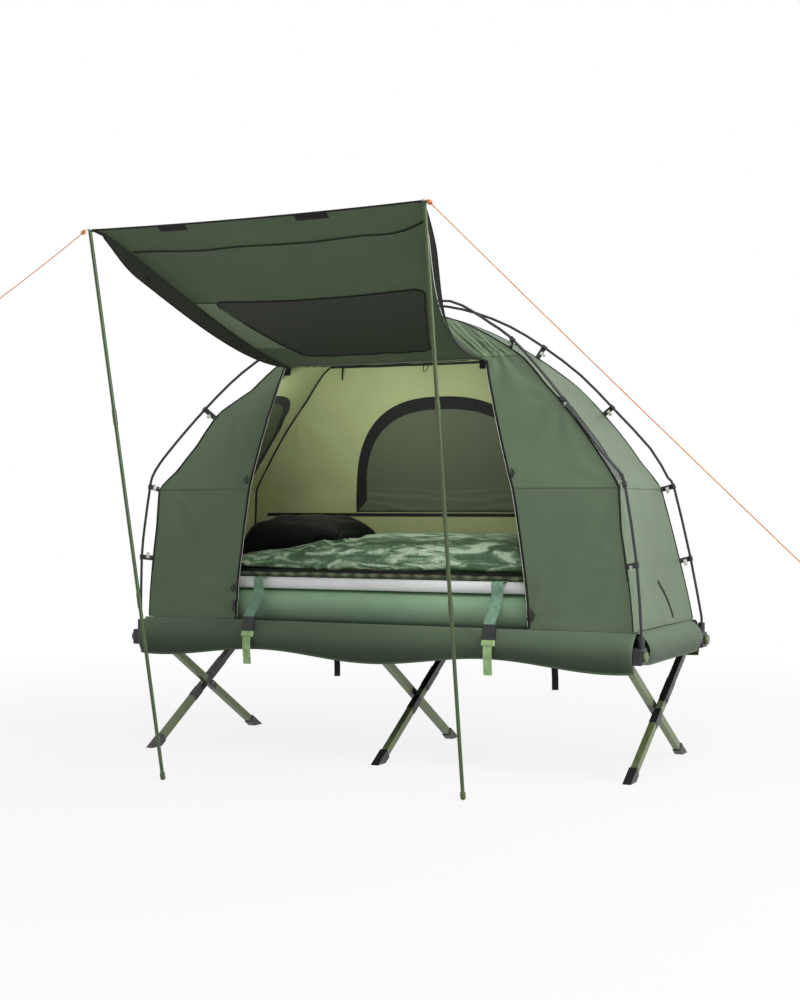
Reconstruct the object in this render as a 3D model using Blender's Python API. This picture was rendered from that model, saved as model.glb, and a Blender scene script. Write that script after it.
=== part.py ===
"""Camping tent on a folding cot: a one-person dome tent sewn to a cot with three crossed leg pairs,
its front door panel propped out as an awning, with the bedding inside.

Metres, +Z up, X along the cot, the door at -Y. Heights are above the ground. Everything is drawn
round the middle of the cot and hung on one empty, which puts the middle of the whole part at Y = 0.
"""
import math

import bmesh
import bpy
from mathutils import Matrix, Vector

# Fits
SEAT = 0.0003            # gap between two pieces that touch
RUN = 0.0004             # gap round a pin, a pole or a tube in its bore
FABRIC = 0.0015          # thickness of the sewn cloth
WEBBING = 0.002

# Cot
COT_LENGTH = 1.93        # rail end to rail end
RAIL_SPACING = 0.732     # front rail to rear rail
RAIL_Z = 0.403
RAIL_RADIUS = 0.014
RAIL_CAP_RADIUS = 0.0175
RAIL_CAP_LENGTH = 0.009
END_BAR_RADIUS = 0.011
DECK_INSET = 0.065       # rail end to deck end
DECK_OVERHANG = 0.010    # deck edge past the rail centre

# Legs
LEG_PAIR_INSET = 0.080   # rail end to the middle of an outer pair
LEG_TOP_INSET = 0.051    # rail centre to a leg's top pivot, inwards
LEG_TOP_DROP = 0.015     # rail centre down to the leg pivots
FOOT_INSET = 0.026       # rail centre to the middle of a foot, inwards
LEG_WIDTH = 0.022
LEG_DEPTH = 0.025
LEG_GAP = 0.003
SLEEVE_WALL = 0.0012
SLEEVE_GAP = 0.042       # pivot to the near end of a sleeve
SLEEVE_LENGTH = 0.110
FOOT_HEIGHT = 0.060
FOOT_WALL = 0.003
FOOT_SOLE = 0.030
PIN_RADIUS = 0.004
PIN_HEAD_RADIUS = 0.007
PIN_HEAD_LENGTH = 0.002

# Brackets
BRACKET_INSET = 0.0325   # rail end to the middle of a corner bracket
BRACKET_LENGTH = 0.043
BRACKET_HEIGHT = 0.054
BRACKET_OUTER = 0.026    # rail centre to the outer face
BRACKET_INNER = 0.038    # rail centre to the inner face
BRACKET_ROUND = 0.005
LUG_LAP = 0.004          # lug arm inside the bracket
CAP_ROUND = 0.002
MID_BRACKET_LENGTH = 0.040
MID_BRACKET_HALF = 0.020
LUG_WALL = 0.006
LUG_REACH = 0.014        # lug past the leg pivot
CLAMP_ROUND = 0.003
SOCKET_RADIUS = 0.0115
SOCKET_HEIGHT = 0.034

# Canopy
WALL_BASE_Z = 0.475
CREASE_Z = 0.935
REAR_CREASE_Z = 0.848
CANOPY_TOP_Z = 1.565
BASE_HALF_LENGTH = 0.912
CANOPY_INSET = 0.020     # rail centre to the canopy's foot, inwards
CREASE_HALF_LENGTH = 0.842
CREASE_INSET = 0.0265    # canopy's foot to its crease, inwards
WALL_BOW = 1.3           # power of the end walls' curve
ROOF_RISE = 1.17         # powers of the roof's curve
ROOF_ROUND = 0.6
CREASE_GAP = 0.0012
RIDGE_HALF_LENGTH = 0.036

# How far the clips pull each corner of the canopy outwards, at levels from its foot (0) over the
# crease (1) to its top (2). The hidden rear left corner is taken like the front right one.
PULL_FRONT_LEFT = ((0, 0), (0.47, 0.018), (0.71, 0.026), (1, 0.046), (1.11, 0.014), (1.25, 0.014),
                   (1.44, 0.052), (1.57, 0.020), (1.70, 0.046), (1.80, 0.048), (2, 0))
PULL_FRONT_RIGHT = ((0, 0), (0.71, 0), (1, 0.016), (1.17, 0.008), (1.55, 0.010), (1.70, 0.032),
                    (1.80, 0.022), (2, 0))
PULL_REAR_RIGHT = ((0, 0), (0.47, -0.019), (1, -0.036), (1.15, -0.048), (1.40, -0.026),
                   (1.58, -0.005), (2, 0))
CORNER_PULLS = {(-1, -1): PULL_FRONT_LEFT, (1, -1): PULL_FRONT_RIGHT,
                (1, 1): PULL_REAR_RIGHT, (-1, 1): PULL_FRONT_RIGHT}

# Door, measured from the canopy's half length at the same height
DOOR_TOP_Z = 1.376
DOOR_BASE_LEFT = 0.368
DOOR_BASE_RIGHT = 0.354
DOOR_CREASE_LEFT = 0.338
DOOR_CREASE_RIGHT = 0.352
DOOR_TOP_LEFT = -0.003
DOOR_TOP_RIGHT = 0.108

# Windows
WINDOW_FIT = 0.0005
REAR_WINDOW_HALF_WIDTH = 0.400
REAR_WINDOW_BASE = 0.008  # above the rear crease
REAR_WINDOW_HEIGHT = 0.422
REAR_WINDOW_ROUND = 2.45
END_WINDOW_HALF_WIDTH = 0.220
END_WINDOW_BASE = 0.020   # above the crease
END_WINDOW_HEIGHT = 0.330
VENT_MARGIN = 0.010
VENT_FOOT_WIDTH = 0.140
VENT_TOP_WIDTH = 0.106
VENT_BASE = 0.020
VENT_HEIGHT = 0.278
VENT_CORNER = 0.12       # cut-off corners, as a share of its height

# Skirts
SKIRT_BULGE = 0.058
SKIRT_DROP = 0.114
END_SKIRT_BULGE = 0.052
END_SKIRT_DROP = 0.102
SKIRT_WAVE = 0.017
SKIRT_WAVE_LENGTH = 0.850
SKIRT_CURL = 0.766       # share of a half wave that the bulge takes
SKIRT_CORNER = 0.040     # rail end to the front skirt's end
END_SKIRT_CORNER = 0.052  # rail centre to the end skirt's end

# Dome poles
POLE_RADIUS = 0.0048
POLE_FOOT_INSET = 0.023  # rail end to the pole
POLE_SET_BACK = 0.009    # rail centre to the pole's foot, inwards
POLE_TOP_Z = 1.600
POLE_SOCKET_FLOOR = 0.013  # above the rail's top
POLE_CROSSING = 0.0006
CLIP_HEIGHTS = (0.690, 0.945, 1.225, 1.440)
CLIP_RADIUS = 0.0078
CLIP_HEIGHT = 0.018
CLIP_GAP = 0.0008        # a tab's end to the canopy

# The poles' curves from the socket to the crossing, as shares of the foot's X and of the rise
CURVE_FRONT_LEFT = ((1.0, 0.0), (0.997, 0.186), (0.985, 0.294), (0.968, 0.403), (0.958, 0.447),
                    (0.930, 0.490), (0.893, 0.533), (0.832, 0.598), (0.765, 0.665), (0.674, 0.748),
                    (0.583, 0.815), (0.456, 0.888), (0.318, 0.946), (0.160, 0.987), (0.0, 1.0))
CURVE_FRONT_RIGHT = ((1.0, 0.0), (0.983, 0.185), (0.937, 0.408), (0.909, 0.454), (0.837, 0.513),
                     (0.690, 0.658), (0.568, 0.767), (0.448, 0.859), (0.356, 0.907), (0.270, 0.949),
                     (0.165, 0.987), (0.0, 1.0))
CURVE_REAR_RIGHT = ((1.0, 0.0), (0.961, 0.190), (0.906, 0.405), (0.884, 0.440), (0.822, 0.534),
                    (0.693, 0.661), (0.578, 0.768), (0.447, 0.859), (0.330, 0.924), (0.212, 0.968),
                    (0.110, 0.990), (0.0, 1.0))
POLE_CURVES = {(-1, -1): CURVE_FRONT_LEFT, (1, -1): CURVE_FRONT_RIGHT,
               (1, 1): CURVE_REAR_RIGHT, (-1, 1): CURVE_FRONT_RIGHT}

# Awning
AWNING_FRONT_Y = -1.150
AWNING_FRONT_Z = 1.733
AWNING_REACH_LEFT = 0.575
AWNING_REACH_RIGHT = 0.555
AWNING_CURVE = 1.5
AWNING_CUT_LEFT = 0.069
AWNING_CUT_RIGHT = 0.062
AWNING_CROSS_SAG = 0.012
AWNING_FRONT_SAG = 0.007
AWNING_BAND = 0.044
AWNING_BAND_LEAN = 0.22  # outward lean of the side band, as a share of its depth
AWNING_HINGE_GAP = 0.0004
AWNING_BACK_INSET = 0.006  # door edge to the awning's edge, at the door's top
AWNING_EDGE = 0.002      # least width of the folded edge above the side band
WINDOW_FRONT_Y = -0.768
WINDOW_REAR_Y = -0.340
WINDOW_MARGINS_LEFT = (0.085, 0.140)   # awning edge to the window, at its front and rear
WINDOW_MARGINS_RIGHT = (0.048, 0.105)
WINDOW_REAR_CORNER = 0.050
WINDOW_FRONT_CORNER = 0.030
EYELET_RADIUS = 0.011
EYELET_BORE = 0.0042
EYELET_HEIGHT = 0.003
EYELET_OFFSET = 0.006    # awning corner to the eyelet, each way

# Awning poles
PROP_RADIUS = 0.0060
PROP_FERRULE_RADIUS = 0.0075
PROP_FERRULE_LENGTH = 0.050
PROP_SECTIONS = 3
PROP_FOOT_RADIUS = 0.0085
PROP_FOOT_LENGTH = 0.022
PROP_SPIKE_RADIUS = 0.0022
PROP_SPIKE_LENGTH = 0.0065
PROP_TAPER = 0.002
PROP_FOOT_ROUND = 0.004
PROP_FOOT_LEFT = (-0.465, -0.924)
PROP_FOOT_RIGHT = (0.540, -0.834)

# Guy lines
GUY_RADIUS = 0.0015
GUY_POINTS = 40
GUY_SAG = 0.004
GUY_END_LEFT = (-0.880, -1.318, 1.470)
GUY_END_RIGHT = (1.720, -1.320, 0.664)

# Bedding
MATTRESS_HALF_LENGTH = 0.860
MATTRESS_MARGIN = 0.041  # rail centre to the mattress's side, inwards
MATTRESS_HEIGHT = 0.165
MATTRESS_ROLL = 0.050    # how far the rolled sides are drawn in, top and bottom
MATTRESS_CORNER = 0.060
MATTRESS_TOP_HEIGHT = 0.040
MATTRESS_TOP_INSET = 0.022
MATTRESS_TOP_CORNER = 0.050
PAD_RIM = 0.22           # height of a soft pad's rim, as a share of its height
PAD_FOOT = 0.97          # a soft pad's flat underside against its outline
BAG_LENGTH = 1.300
BAG_MARGIN = 0.045       # mattress's side to the bag's side, inwards
BAG_HEIGHT = 0.095
BAG_CENTRE_X = -0.020
BAG_QUILTS = 8
BAG_QUILT_RISE = 0.006
BAG_WANDER = 0.004       # slow rise and fall of its top
BAG_PINCH = 0.02
BAG_COLUMNS = 33
BAG_ROWS = 13
PILLOW_LENGTH = 0.400
PILLOW_WIDTH = 0.300
PILLOW_HEIGHT = 0.115
PILLOW_X = -0.460
PILLOW_Y = 0.030
PILLOW_WANDER = 0.004
PILLOW_PINCH = 0.10

# Straps and buckles
STRAP_LEFT_X = -0.460
STRAP_RIGHT_X = 0.445
STRAP_WIDTH = 0.040
STRAP_TURN = 0.012       # strap's bend over the mattress edge
STRAP_BEND = 0.008       # start of its drop, below the top
STRAP_SHARE = 0.45       # bend on the way down
STRAP_ENTRY = 0.010      # straight run into the buckle
STRAP_CLEARANCE = 0.010  # strap in front of the mattress
BUCKLE_WIDTH = 0.046
BUCKLE_LENGTH = 0.050
BUCKLE_DEPTH = 0.012
BUCKLE_WALL = 0.0028
BUCKLE_MOUTH = 0.030
BUCKLE_EDGE = 0.002
BUCKLE_WINDOW = 0.45     # side window, as a share of the mouth
BUCKLE_TOP_Z = 0.490
BUCKLE_FOOT_Z = 0.412
BUCKLE_STAND_OFF = 0.014  # buckle's foot in front of the skirt
BUCKLE_LEAN = 0.020      # buckle's top behind its foot
TONGUE_INSERT = 0.024
TONGUE_BODY = 0.020
PRONG_WIDTH = 0.006
PRONG_ROOT = 0.004       # prong inside the tongue's body
TAIL_WIDTH = 0.030
TAIL_LENGTH = 0.105
TAIL_SWAY = 0.007

# Zip sliders
SLIDER_LOW_Z = 0.530
SLIDER_HIGH_Z = 0.880
SLIDER_EDGE = 0.012      # slider centre from the door's edge
SLIDER_WIDTH = 0.010
SLIDER_LENGTH = 0.020
SLIDER_DEPTH = 0.006
SLIDER_EDGE_ROUND = 0.0012
PULL_LENGTH = 0.030
PULL_WIDTH = 0.007

# Places worked out from the sizes above
RAIL_Y = RAIL_SPACING / 2
BASE_HALF_WIDTH = RAIL_Y - CANOPY_INSET
CREASE_HALF_WIDTH = BASE_HALF_WIDTH - CREASE_INSET
POLE_FOOT_Y = RAIL_Y - POLE_SET_BACK
MATTRESS_HALF_WIDTH = RAIL_Y - MATTRESS_MARGIN
BAG_WIDTH = 2 * (MATTRESS_HALF_WIDTH - BAG_MARGIN)
COT_END = COT_LENGTH / 2
LEG_TOP_Y = RAIL_Y - LEG_TOP_INSET
LEG_TOP_Z = RAIL_Z - LEG_TOP_DROP
FOOT_Y = RAIL_Y - FOOT_INSET
LEG_PAIR_X = COT_END - LEG_PAIR_INSET
LEG_OFFSET = (LEG_WIDTH + LEG_GAP) / 2
PIVOT_SHARE = LEG_TOP_Y / (LEG_TOP_Y + FOOT_Y)
PIVOT_Z = LEG_TOP_Z * (1 - PIVOT_SHARE)
DECK_Z = RAIL_Z + RAIL_RADIUS + SEAT
BED_Z = DECK_Z + FABRIC + SEAT
BRACKET_X = COT_END - BRACKET_INSET
POLE_FOOT_X = COT_END - POLE_FOOT_INSET
POLE_FOOT_Z = RAIL_Z + RAIL_RADIUS + POLE_SOCKET_FLOOR
POLE_FREE_Z = RAIL_Z + BRACKET_HEIGHT / 2 + SOCKET_HEIGHT + 4 * POLE_RADIUS
BAG_Z = BED_Z + MATTRESS_HEIGHT + MATTRESS_TOP_HEIGHT + SEAT
PART_FRONT = AWNING_FRONT_Y - EYELET_OFFSET - EYELET_RADIUS
PART_REAR = BASE_HALF_WIDTH + SKIRT_BULGE
CENTRE_Y = -(PART_FRONT + PART_REAR) / 2


def clear_scene():
    for thing in list(bpy.data.objects):
        bpy.data.objects.remove(thing, do_unlink=True)


def material(name, colour, roughness, metallic=0.0):
    found = bpy.data.materials.get(name)
    if found:
        return found
    made = bpy.data.materials.new(name)
    made.use_nodes = True
    shader = made.node_tree.nodes["Principled BSDF"]
    shader.inputs["Base Color"].default_value = (*colour, 1.0)
    shader.inputs["Roughness"].default_value = roughness
    shader.inputs["Metallic"].default_value = metallic
    made.diffuse_color = (*colour, 1.0)
    return made


def canopy_cloth():
    return material("canopy_cloth", (0.085, 0.125, 0.070), 0.6)


def skirt_cloth():
    return material("skirt_cloth", (0.045, 0.072, 0.045), 0.6)


def deck_cloth():
    return material("deck_cloth", (0.040, 0.055, 0.040), 0.7)


def window_mesh():
    return material("window_mesh", (0.020, 0.024, 0.022), 0.8)


def olive_tube():
    return material("olive_tube", (0.165, 0.220, 0.090), 0.4, 0.5)


def dark_tube():
    return material("dark_tube", (0.045, 0.047, 0.055), 0.35, 0.4)


def black_plastic():
    return material("black_plastic", (0.018, 0.020, 0.018), 0.45)


def strap_cloth():
    return material("strap_cloth", (0.150, 0.260, 0.130), 0.7)


def guy_cord():
    return material("guy_cord", (0.750, 0.270, 0.090), 0.6)


def mattress_skin():
    return material("mattress_skin", (0.110, 0.210, 0.130), 0.35)


def bag_cloth():
    return material("bag_cloth", (0.060, 0.130, 0.050), 0.45)


def pillow_cloth():
    return material("pillow_cloth", (0.012, 0.014, 0.012), 0.5)


# Mesh tools
def add_object(name, mesh, finish):
    thing = bpy.data.objects.new(name, mesh)
    bpy.context.scene.collection.objects.link(thing)
    thing.parent = bpy.data.objects["cot_middle"]
    if finish:
        mesh.materials.append(finish)
    return thing


def mesh_object(name, points, faces, finish):
    mesh = bpy.data.meshes.new(name)
    mesh.from_pydata([tuple(p) for p in points], [], faces)
    mesh.validate()
    return add_object(name, mesh, finish)


def smooth(thing, degrees=40):
    thing.data.shade_smooth()
    thing.data.set_sharp_from_angle(angle=math.radians(degrees))
    return thing


def put_origin(thing, point):
    """Move an object's origin to a point and leave its shape where it is."""
    thing.data.transform(Matrix.Translation(-Vector(point)))
    thing.location = point
    return thing


def prism(name, outline, start, end, axis, finish):
    """Extrude an outline along one axis. The outline gives the other two coordinates in order."""
    def place(a, b, along):
        values = [a, b]
        values.insert(axis, along)
        return values

    count = len(outline)
    points = [place(a, b, start) for a, b in outline] + [place(a, b, end) for a, b in outline]
    faces = [list(range(count)), list(range(2 * count - 1, count - 1, -1))]
    faces += [(i, i + count, (i + 1) % count + count, (i + 1) % count) for i in range(count)]
    thing = mesh_object(name, points, faces, finish)
    return point_out(thing)


def point_out(thing):
    work = bmesh.new()
    work.from_mesh(thing.data)
    bmesh.ops.recalc_face_normals(work, faces=work.faces)
    work.to_mesh(thing.data)
    work.free()
    return thing


def block(name, low, high, finish, bevel=0.0, segments=2):
    outline = [(low[1], low[2]), (high[1], low[2]), (high[1], high[2]), (low[1], high[2])]
    thing = prism(name, outline, low[0], high[0], 0, finish)
    if bevel:
        round_edges(thing, bevel, segments)
    return thing


def round_edges(thing, width, segments=2):
    work = bmesh.new()
    work.from_mesh(thing.data)
    bmesh.ops.bevel(work, geom=work.edges[:], offset=width, segments=segments, profile=0.5,
                    affect="EDGES", clamp_overlap=True)
    work.to_mesh(thing.data)
    work.free()


def framed_block(name, centre, axes, size, finish):
    """A block whose three edges run along the given unit axes."""
    points = []
    for i in (-0.5, 0.5):
        for j in (-0.5, 0.5):
            for k in (-0.5, 0.5):
                points.append(Vector(centre) + axes[0] * size[0] * i + axes[1] * size[1] * j
                              + axes[2] * size[2] * k)
    faces = [(0, 1, 3, 2), (4, 6, 7, 5), (0, 4, 5, 1), (2, 3, 7, 6), (0, 2, 6, 4), (1, 5, 7, 3)]
    return point_out(mesh_object(name, points, faces, finish))


def lathe(name, profile, start, direction, finish, sides=16):
    """Turn a profile of (distance along, radius) pairs about the line through start."""
    along = Vector(direction).normalized()
    side = along.orthogonal().normalized()
    other = along.cross(side)
    points = []
    for distance, radius in profile:
        for step in range(sides):
            turn = 2 * math.pi * step / sides
            points.append(Vector(start) + along * distance
                          + (side * math.cos(turn) + other * math.sin(turn)) * radius)
    faces = [list(range(sides - 1, -1, -1))]
    for ring in range(len(profile) - 1):
        low = ring * sides
        for step in range(sides):
            nxt = (step + 1) % sides
            faces.append((low + step, low + nxt, low + sides + nxt, low + sides + step))
    last = (len(profile) - 1) * sides
    faces.append(list(range(last, last + sides)))
    return smooth(mesh_object(name, points, faces, finish))


def rod(name, start, end, radius, finish, sides=16):
    span = Vector(end) - Vector(start)
    return lathe(name, [(0, radius), (span.length, radius)], start, span, finish, sides)


def tube_along(name, points, radius, finish, resolution=1):
    """A round tube along points, with filled ends."""
    curve = bpy.data.curves.new(name, "CURVE")
    curve.dimensions = "3D"
    curve.bevel_depth = radius
    curve.bevel_resolution = resolution
    curve.use_fill_caps = True
    line = curve.splines.new("POLY")
    line.points.add(len(points) - 1)
    for spot, point in zip(line.points, points):
        spot.co = (*point, 1.0)
    return add_object(name, curve, finish)


def use_boolean(target, tool, operation):
    change = target.modifiers.new(operation.lower(), "BOOLEAN")
    change.operation = operation
    change.object = tool
    change.solver = "EXACT"
    tool.hide_render = True
    tool.display_type = "WIRE"


def cut(target, *tools):
    for tool in tools:
        use_boolean(target, tool, "DIFFERENCE")


def join(target, *tools):
    for tool in tools:
        use_boolean(target, tool, "UNION")


def keep_inside(target, tool):
    use_boolean(target, tool, "INTERSECT")


def mirrored(thing):
    """Turn a finished mesh to the other end of the cot."""
    thing.data.transform(Matrix.Scale(-1, 4, Vector((1, 0, 0))))
    return point_out(thing)


def grid_sheet(name, rows, finish, thickness=FABRIC):
    """A thick sheet from rows of points, seen from outside: rows go up, points go left to right."""
    columns = len(rows[0])
    points = [point for row in rows for point in row]
    faces = []
    for row in range(len(rows) - 1):
        for column in range(columns - 1):
            first = row * columns + column
            faces.append((first, first + 1, first + columns + 1, first + columns))
    thing = mesh_object(name, points, faces, finish)
    thing.data.shade_smooth()
    wall = thing.modifiers.new("cloth", "SOLIDIFY")
    wall.thickness = thickness
    wall.offset = -1.0
    wall.use_even_offset = True
    return thing


def blend_between(start, end, share):
    return start + (end - start) * share


def spaced(start, end, count):
    return [blend_between(start, end, i / (count - 1)) for i in range(count)]


# The canopy's form
def roof_share(z):
    rise = min(max((z - CREASE_Z) / (CANOPY_TOP_Z - CREASE_Z), 0.0), 1.0)
    return (1 - rise ** ROOF_RISE) ** ROOF_ROUND


def half_length(z):
    """Half the canopy's length at a height, measured at its corners."""
    if z <= CREASE_Z:
        share = max((z - WALL_BASE_Z) / (CREASE_Z - WALL_BASE_Z), 0.0)
        return blend_between(BASE_HALF_LENGTH, CREASE_HALF_LENGTH, share ** WALL_BOW)
    return CREASE_HALF_LENGTH * roof_share(z)


def half_width(z):
    if z <= CREASE_Z:
        share = max((z - WALL_BASE_Z) / (CREASE_Z - WALL_BASE_Z), 0.0)
        return blend_between(BASE_HALF_WIDTH, CREASE_HALF_WIDTH, share)
    return CREASE_HALF_WIDTH * roof_share(z)


def corner_x(end, side, z):
    """X of a canopy corner: end is -1 at the left and +1 at the right, side is -1 at the front."""
    if z <= CREASE_Z:
        level = (z - WALL_BASE_Z) / (CREASE_Z - WALL_BASE_Z)
    else:
        level = 1 + (z - CREASE_Z) / (CANOPY_TOP_Z - CREASE_Z)
    pulls = CORNER_PULLS[(end, side)]
    pull = 0.0
    for (low, start), (high, stop) in zip(pulls, pulls[1:]):
        if low <= level <= high:
            pull = blend_between(start, stop, (level - low) / (high - low))
    return end * (half_length(z) + pull)


def front_left_corner(z):
    return corner_x(-1, -1, z)


def front_right_corner(z):
    return corner_x(1, -1, z)


def roof_top_row():
    """Height at which the end slopes stop, where the short ridge begins."""
    share = RIDGE_HALF_LENGTH / CREASE_HALF_LENGTH
    rise = (1 - share ** (1 / ROOF_ROUND)) ** (1 / ROOF_RISE)
    return CREASE_Z + (CANOPY_TOP_Z - CREASE_Z) * rise


def roof_heights(low, high, count):
    """Heights that come closer together towards the flat top."""
    return [high - (high - low) * (1 - i / (count - 1)) ** 1.7 for i in range(count)]


def door_edge(z, base, crease, top):
    """Distance from the canopy's half length to the door at a height."""
    if z <= CREASE_Z:
        return blend_between(base, crease, (z - WALL_BASE_Z) / (CREASE_Z - WALL_BASE_Z))
    share = (z - CREASE_Z) / (DOOR_TOP_Z - CREASE_Z)
    crease_x = CREASE_HALF_LENGTH - crease
    top_x = half_length(DOOR_TOP_Z) - top
    return half_length(z) - blend_between(crease_x, top_x, share)


def door_left(z):
    return -half_length(z) + door_edge(z, DOOR_BASE_LEFT, DOOR_CREASE_LEFT, DOOR_TOP_LEFT)


def door_right(z):
    return half_length(z) - door_edge(z, DOOR_BASE_RIGHT, DOOR_CREASE_RIGHT, DOOR_TOP_RIGHT)


def front_rows(heights, left, right, columns):
    return [[(x, -half_width(z), z) for x in spaced(left(z), right(z), columns)] for z in heights]


def rear_rows(heights, columns):
    return [[(x, half_width(z), z) for x in spaced(corner_x(1, 1, z), corner_x(-1, 1, z), columns)]
            for z in heights]


def end_rows(heights, side, columns):
    """Rows of an end panel: side is +1 at the right end and -1 at the left."""
    rows = []
    for z in heights:
        reach = half_width(z) - FABRIC - RUN
        front_x = corner_x(side, -1, z)
        rear_x = corner_x(side, 1, z)
        rows.append([(blend_between(front_x, rear_x, (y / reach + 1) / 2), y, z)
                     for y in spaced(-side * reach, side * reach, columns)])
    return rows


def arch_outline(half, low, height, power, steps=12):
    """A window outline with upright sides and a rounded top, as (across, up) pairs."""
    outline = []
    for step in range(steps + 1):
        turn = math.pi * step / steps
        across = abs(math.cos(turn)) ** (2 / power) * math.copysign(1, math.cos(turn))
        up = abs(math.sin(turn)) ** (2 / power)
        outline.append((half * across, low + height * up))
    return outline


def shrink_arch(half, low, height, gap):
    return half - gap, low + gap, height - 2 * gap


def make_walls():
    """The upright band of the tent: five panels, with the door between the front two."""
    heights = spaced(WALL_BASE_Z, CREASE_Z - CREASE_GAP / 2, 4)
    grid_sheet("wall_front_left",
               front_rows(heights, front_left_corner, door_left, 4), canopy_cloth())
    grid_sheet("wall_front_right",
               front_rows(heights, door_right, front_right_corner, 4), canopy_cloth())
    rear_heights = spaced(WALL_BASE_Z, REAR_CREASE_Z - CREASE_GAP / 2, 4)
    grid_sheet("wall_rear", rear_rows(rear_heights, 7), canopy_cloth())
    grid_sheet("wall_left", end_rows(heights, -1, 5), canopy_cloth())
    grid_sheet("wall_right", end_rows(heights, 1, 5), canopy_cloth())


def ridge_row(side, columns):
    """The last row of the front or rear roof, along the short ridge."""
    reach = RIDGE_HALF_LENGTH
    return [(x, side * RUN, CANOPY_TOP_Z) for x in spaced(side * reach, -side * reach, columns)]


def make_roof():
    """The sloping panels: two beside the door, one over it, the rear one and the two ends."""
    side_heights = spaced(CREASE_Z + CREASE_GAP / 2, DOOR_TOP_Z - CREASE_GAP / 2, 7)
    grid_sheet("slope_front_left",
               front_rows(side_heights, front_left_corner, door_left, 4), canopy_cloth())
    grid_sheet("slope_front_right",
               front_rows(side_heights, door_right, front_right_corner, 4), canopy_cloth())

    top = roof_top_row()
    over_door = roof_heights(DOOR_TOP_Z + CREASE_GAP / 2, top, 6)
    rows = front_rows(over_door, front_left_corner, front_right_corner, 9)
    rows.append(ridge_row(-1, 9))
    grid_sheet("roof_front", rows, canopy_cloth())

    rear_heights = spaced(REAR_CREASE_Z + CREASE_GAP / 2, CREASE_Z, 3)
    rear_heights += spaced(CREASE_Z, DOOR_TOP_Z, 7)[1:] + roof_heights(DOOR_TOP_Z, top, 6)[1:]
    rear_panel_rows = rear_rows(rear_heights, 11)
    rear_panel_rows.append(ridge_row(1, 11))
    rear_slope = grid_sheet("slope_rear", rear_panel_rows, canopy_cloth())
    add_rear_window(rear_slope, rear_panel_rows)

    end_heights = side_heights[:-1] + roof_heights(DOOR_TOP_Z, top - CREASE_GAP, 6)
    left_rows = end_rows(end_heights, -1, 7)
    left_slope = grid_sheet("slope_left", left_rows, canopy_cloth())
    add_end_window(left_slope, left_rows)
    right_rows = end_rows(end_heights, 1, 7)
    right_slope = grid_sheet("slope_right", right_rows, canopy_cloth())
    add_end_vent(right_slope, right_rows)


def add_rear_window(slope, rows):
    size = (REAR_WINDOW_HALF_WIDTH, REAR_CREASE_Z + REAR_WINDOW_BASE, REAR_WINDOW_HEIGHT)
    far = BASE_HALF_WIDTH + SKIRT_BULGE
    opening = prism("rear_window_opening", arch_outline(*size, REAR_WINDOW_ROUND), 0.0, far, 1, None)
    cut(slope, opening)
    pane = grid_sheet("rear_window_mesh", rows, window_mesh())
    shape = arch_outline(*shrink_arch(*size, WINDOW_FIT), REAR_WINDOW_ROUND)
    keep_inside(pane, prism("rear_window_shape", shape, 0.0, far, 1, None))


def add_end_window(slope, rows):
    size = (END_WINDOW_HALF_WIDTH, CREASE_Z + END_WINDOW_BASE, END_WINDOW_HEIGHT)
    outline = arch_outline(*size, REAR_WINDOW_ROUND)
    opening = prism("left_window_opening", outline, -COT_END, 0.0, 0, None)
    cut(slope, opening)
    pane = grid_sheet("left_window_mesh", rows, window_mesh())
    shape = arch_outline(*shrink_arch(*size, WINDOW_FIT), REAR_WINDOW_ROUND)
    keep_inside(pane, prism("left_window_shape", shape, -COT_END, 0.0, 0, None))


def vent_outline(gap):
    """The vent beside the right front corner, as (across, up) pairs: up its near side, down its far."""
    low = CREASE_Z + VENT_BASE + gap
    high = low + VENT_HEIGHT - 2 * gap
    near = []
    far = []
    for share in (0.0, VENT_CORNER, 0.33, 0.67, 1 - VENT_CORNER, 1.0):
        z = blend_between(low, high, share)
        width = blend_between(VENT_FOOT_WIDTH, VENT_TOP_WIDTH, share)
        corner = width * VENT_CORNER if share in (0.0, 1.0) else 0.0
        edge = VENT_MARGIN - half_width(z)
        near.append((edge + gap + corner, z))
        far.append((edge + width - gap - corner, z))
    return near + far[::-1]


def add_end_vent(slope, rows):
    """The long mesh vent beside the right front corner."""
    opening = prism("right_vent_opening", vent_outline(0.0), 0.0, COT_END, 0, None)
    cut(slope, opening)
    pane = grid_sheet("right_vent_mesh", rows, window_mesh())
    keep_inside(pane, prism("right_vent_shape", vent_outline(WINDOW_FIT), 0.0, COT_END, 0, None))


# Skirts
def skirt_curve(share, base, bulge, drop):
    """One point of a skirt's section: distance out and height."""
    out = base + bulge * math.sin(math.pi * SKIRT_CURL * share ** 0.8)
    return out, WALL_BASE_Z - CREASE_GAP / 2 - drop * share


def skirt_rows(place, drops, base, bulge):
    """Rows from the hem up. place(k, out, z) sets column k of the sheet."""
    shares = spaced(1.0, 0.0, 8)
    rows = []
    for share in shares:
        row = []
        for column, drop in enumerate(drops):
            out, z = skirt_curve(share, base, bulge, drop)
            row.append(place(column, out, z))
        rows.append(row)
    return rows


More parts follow.
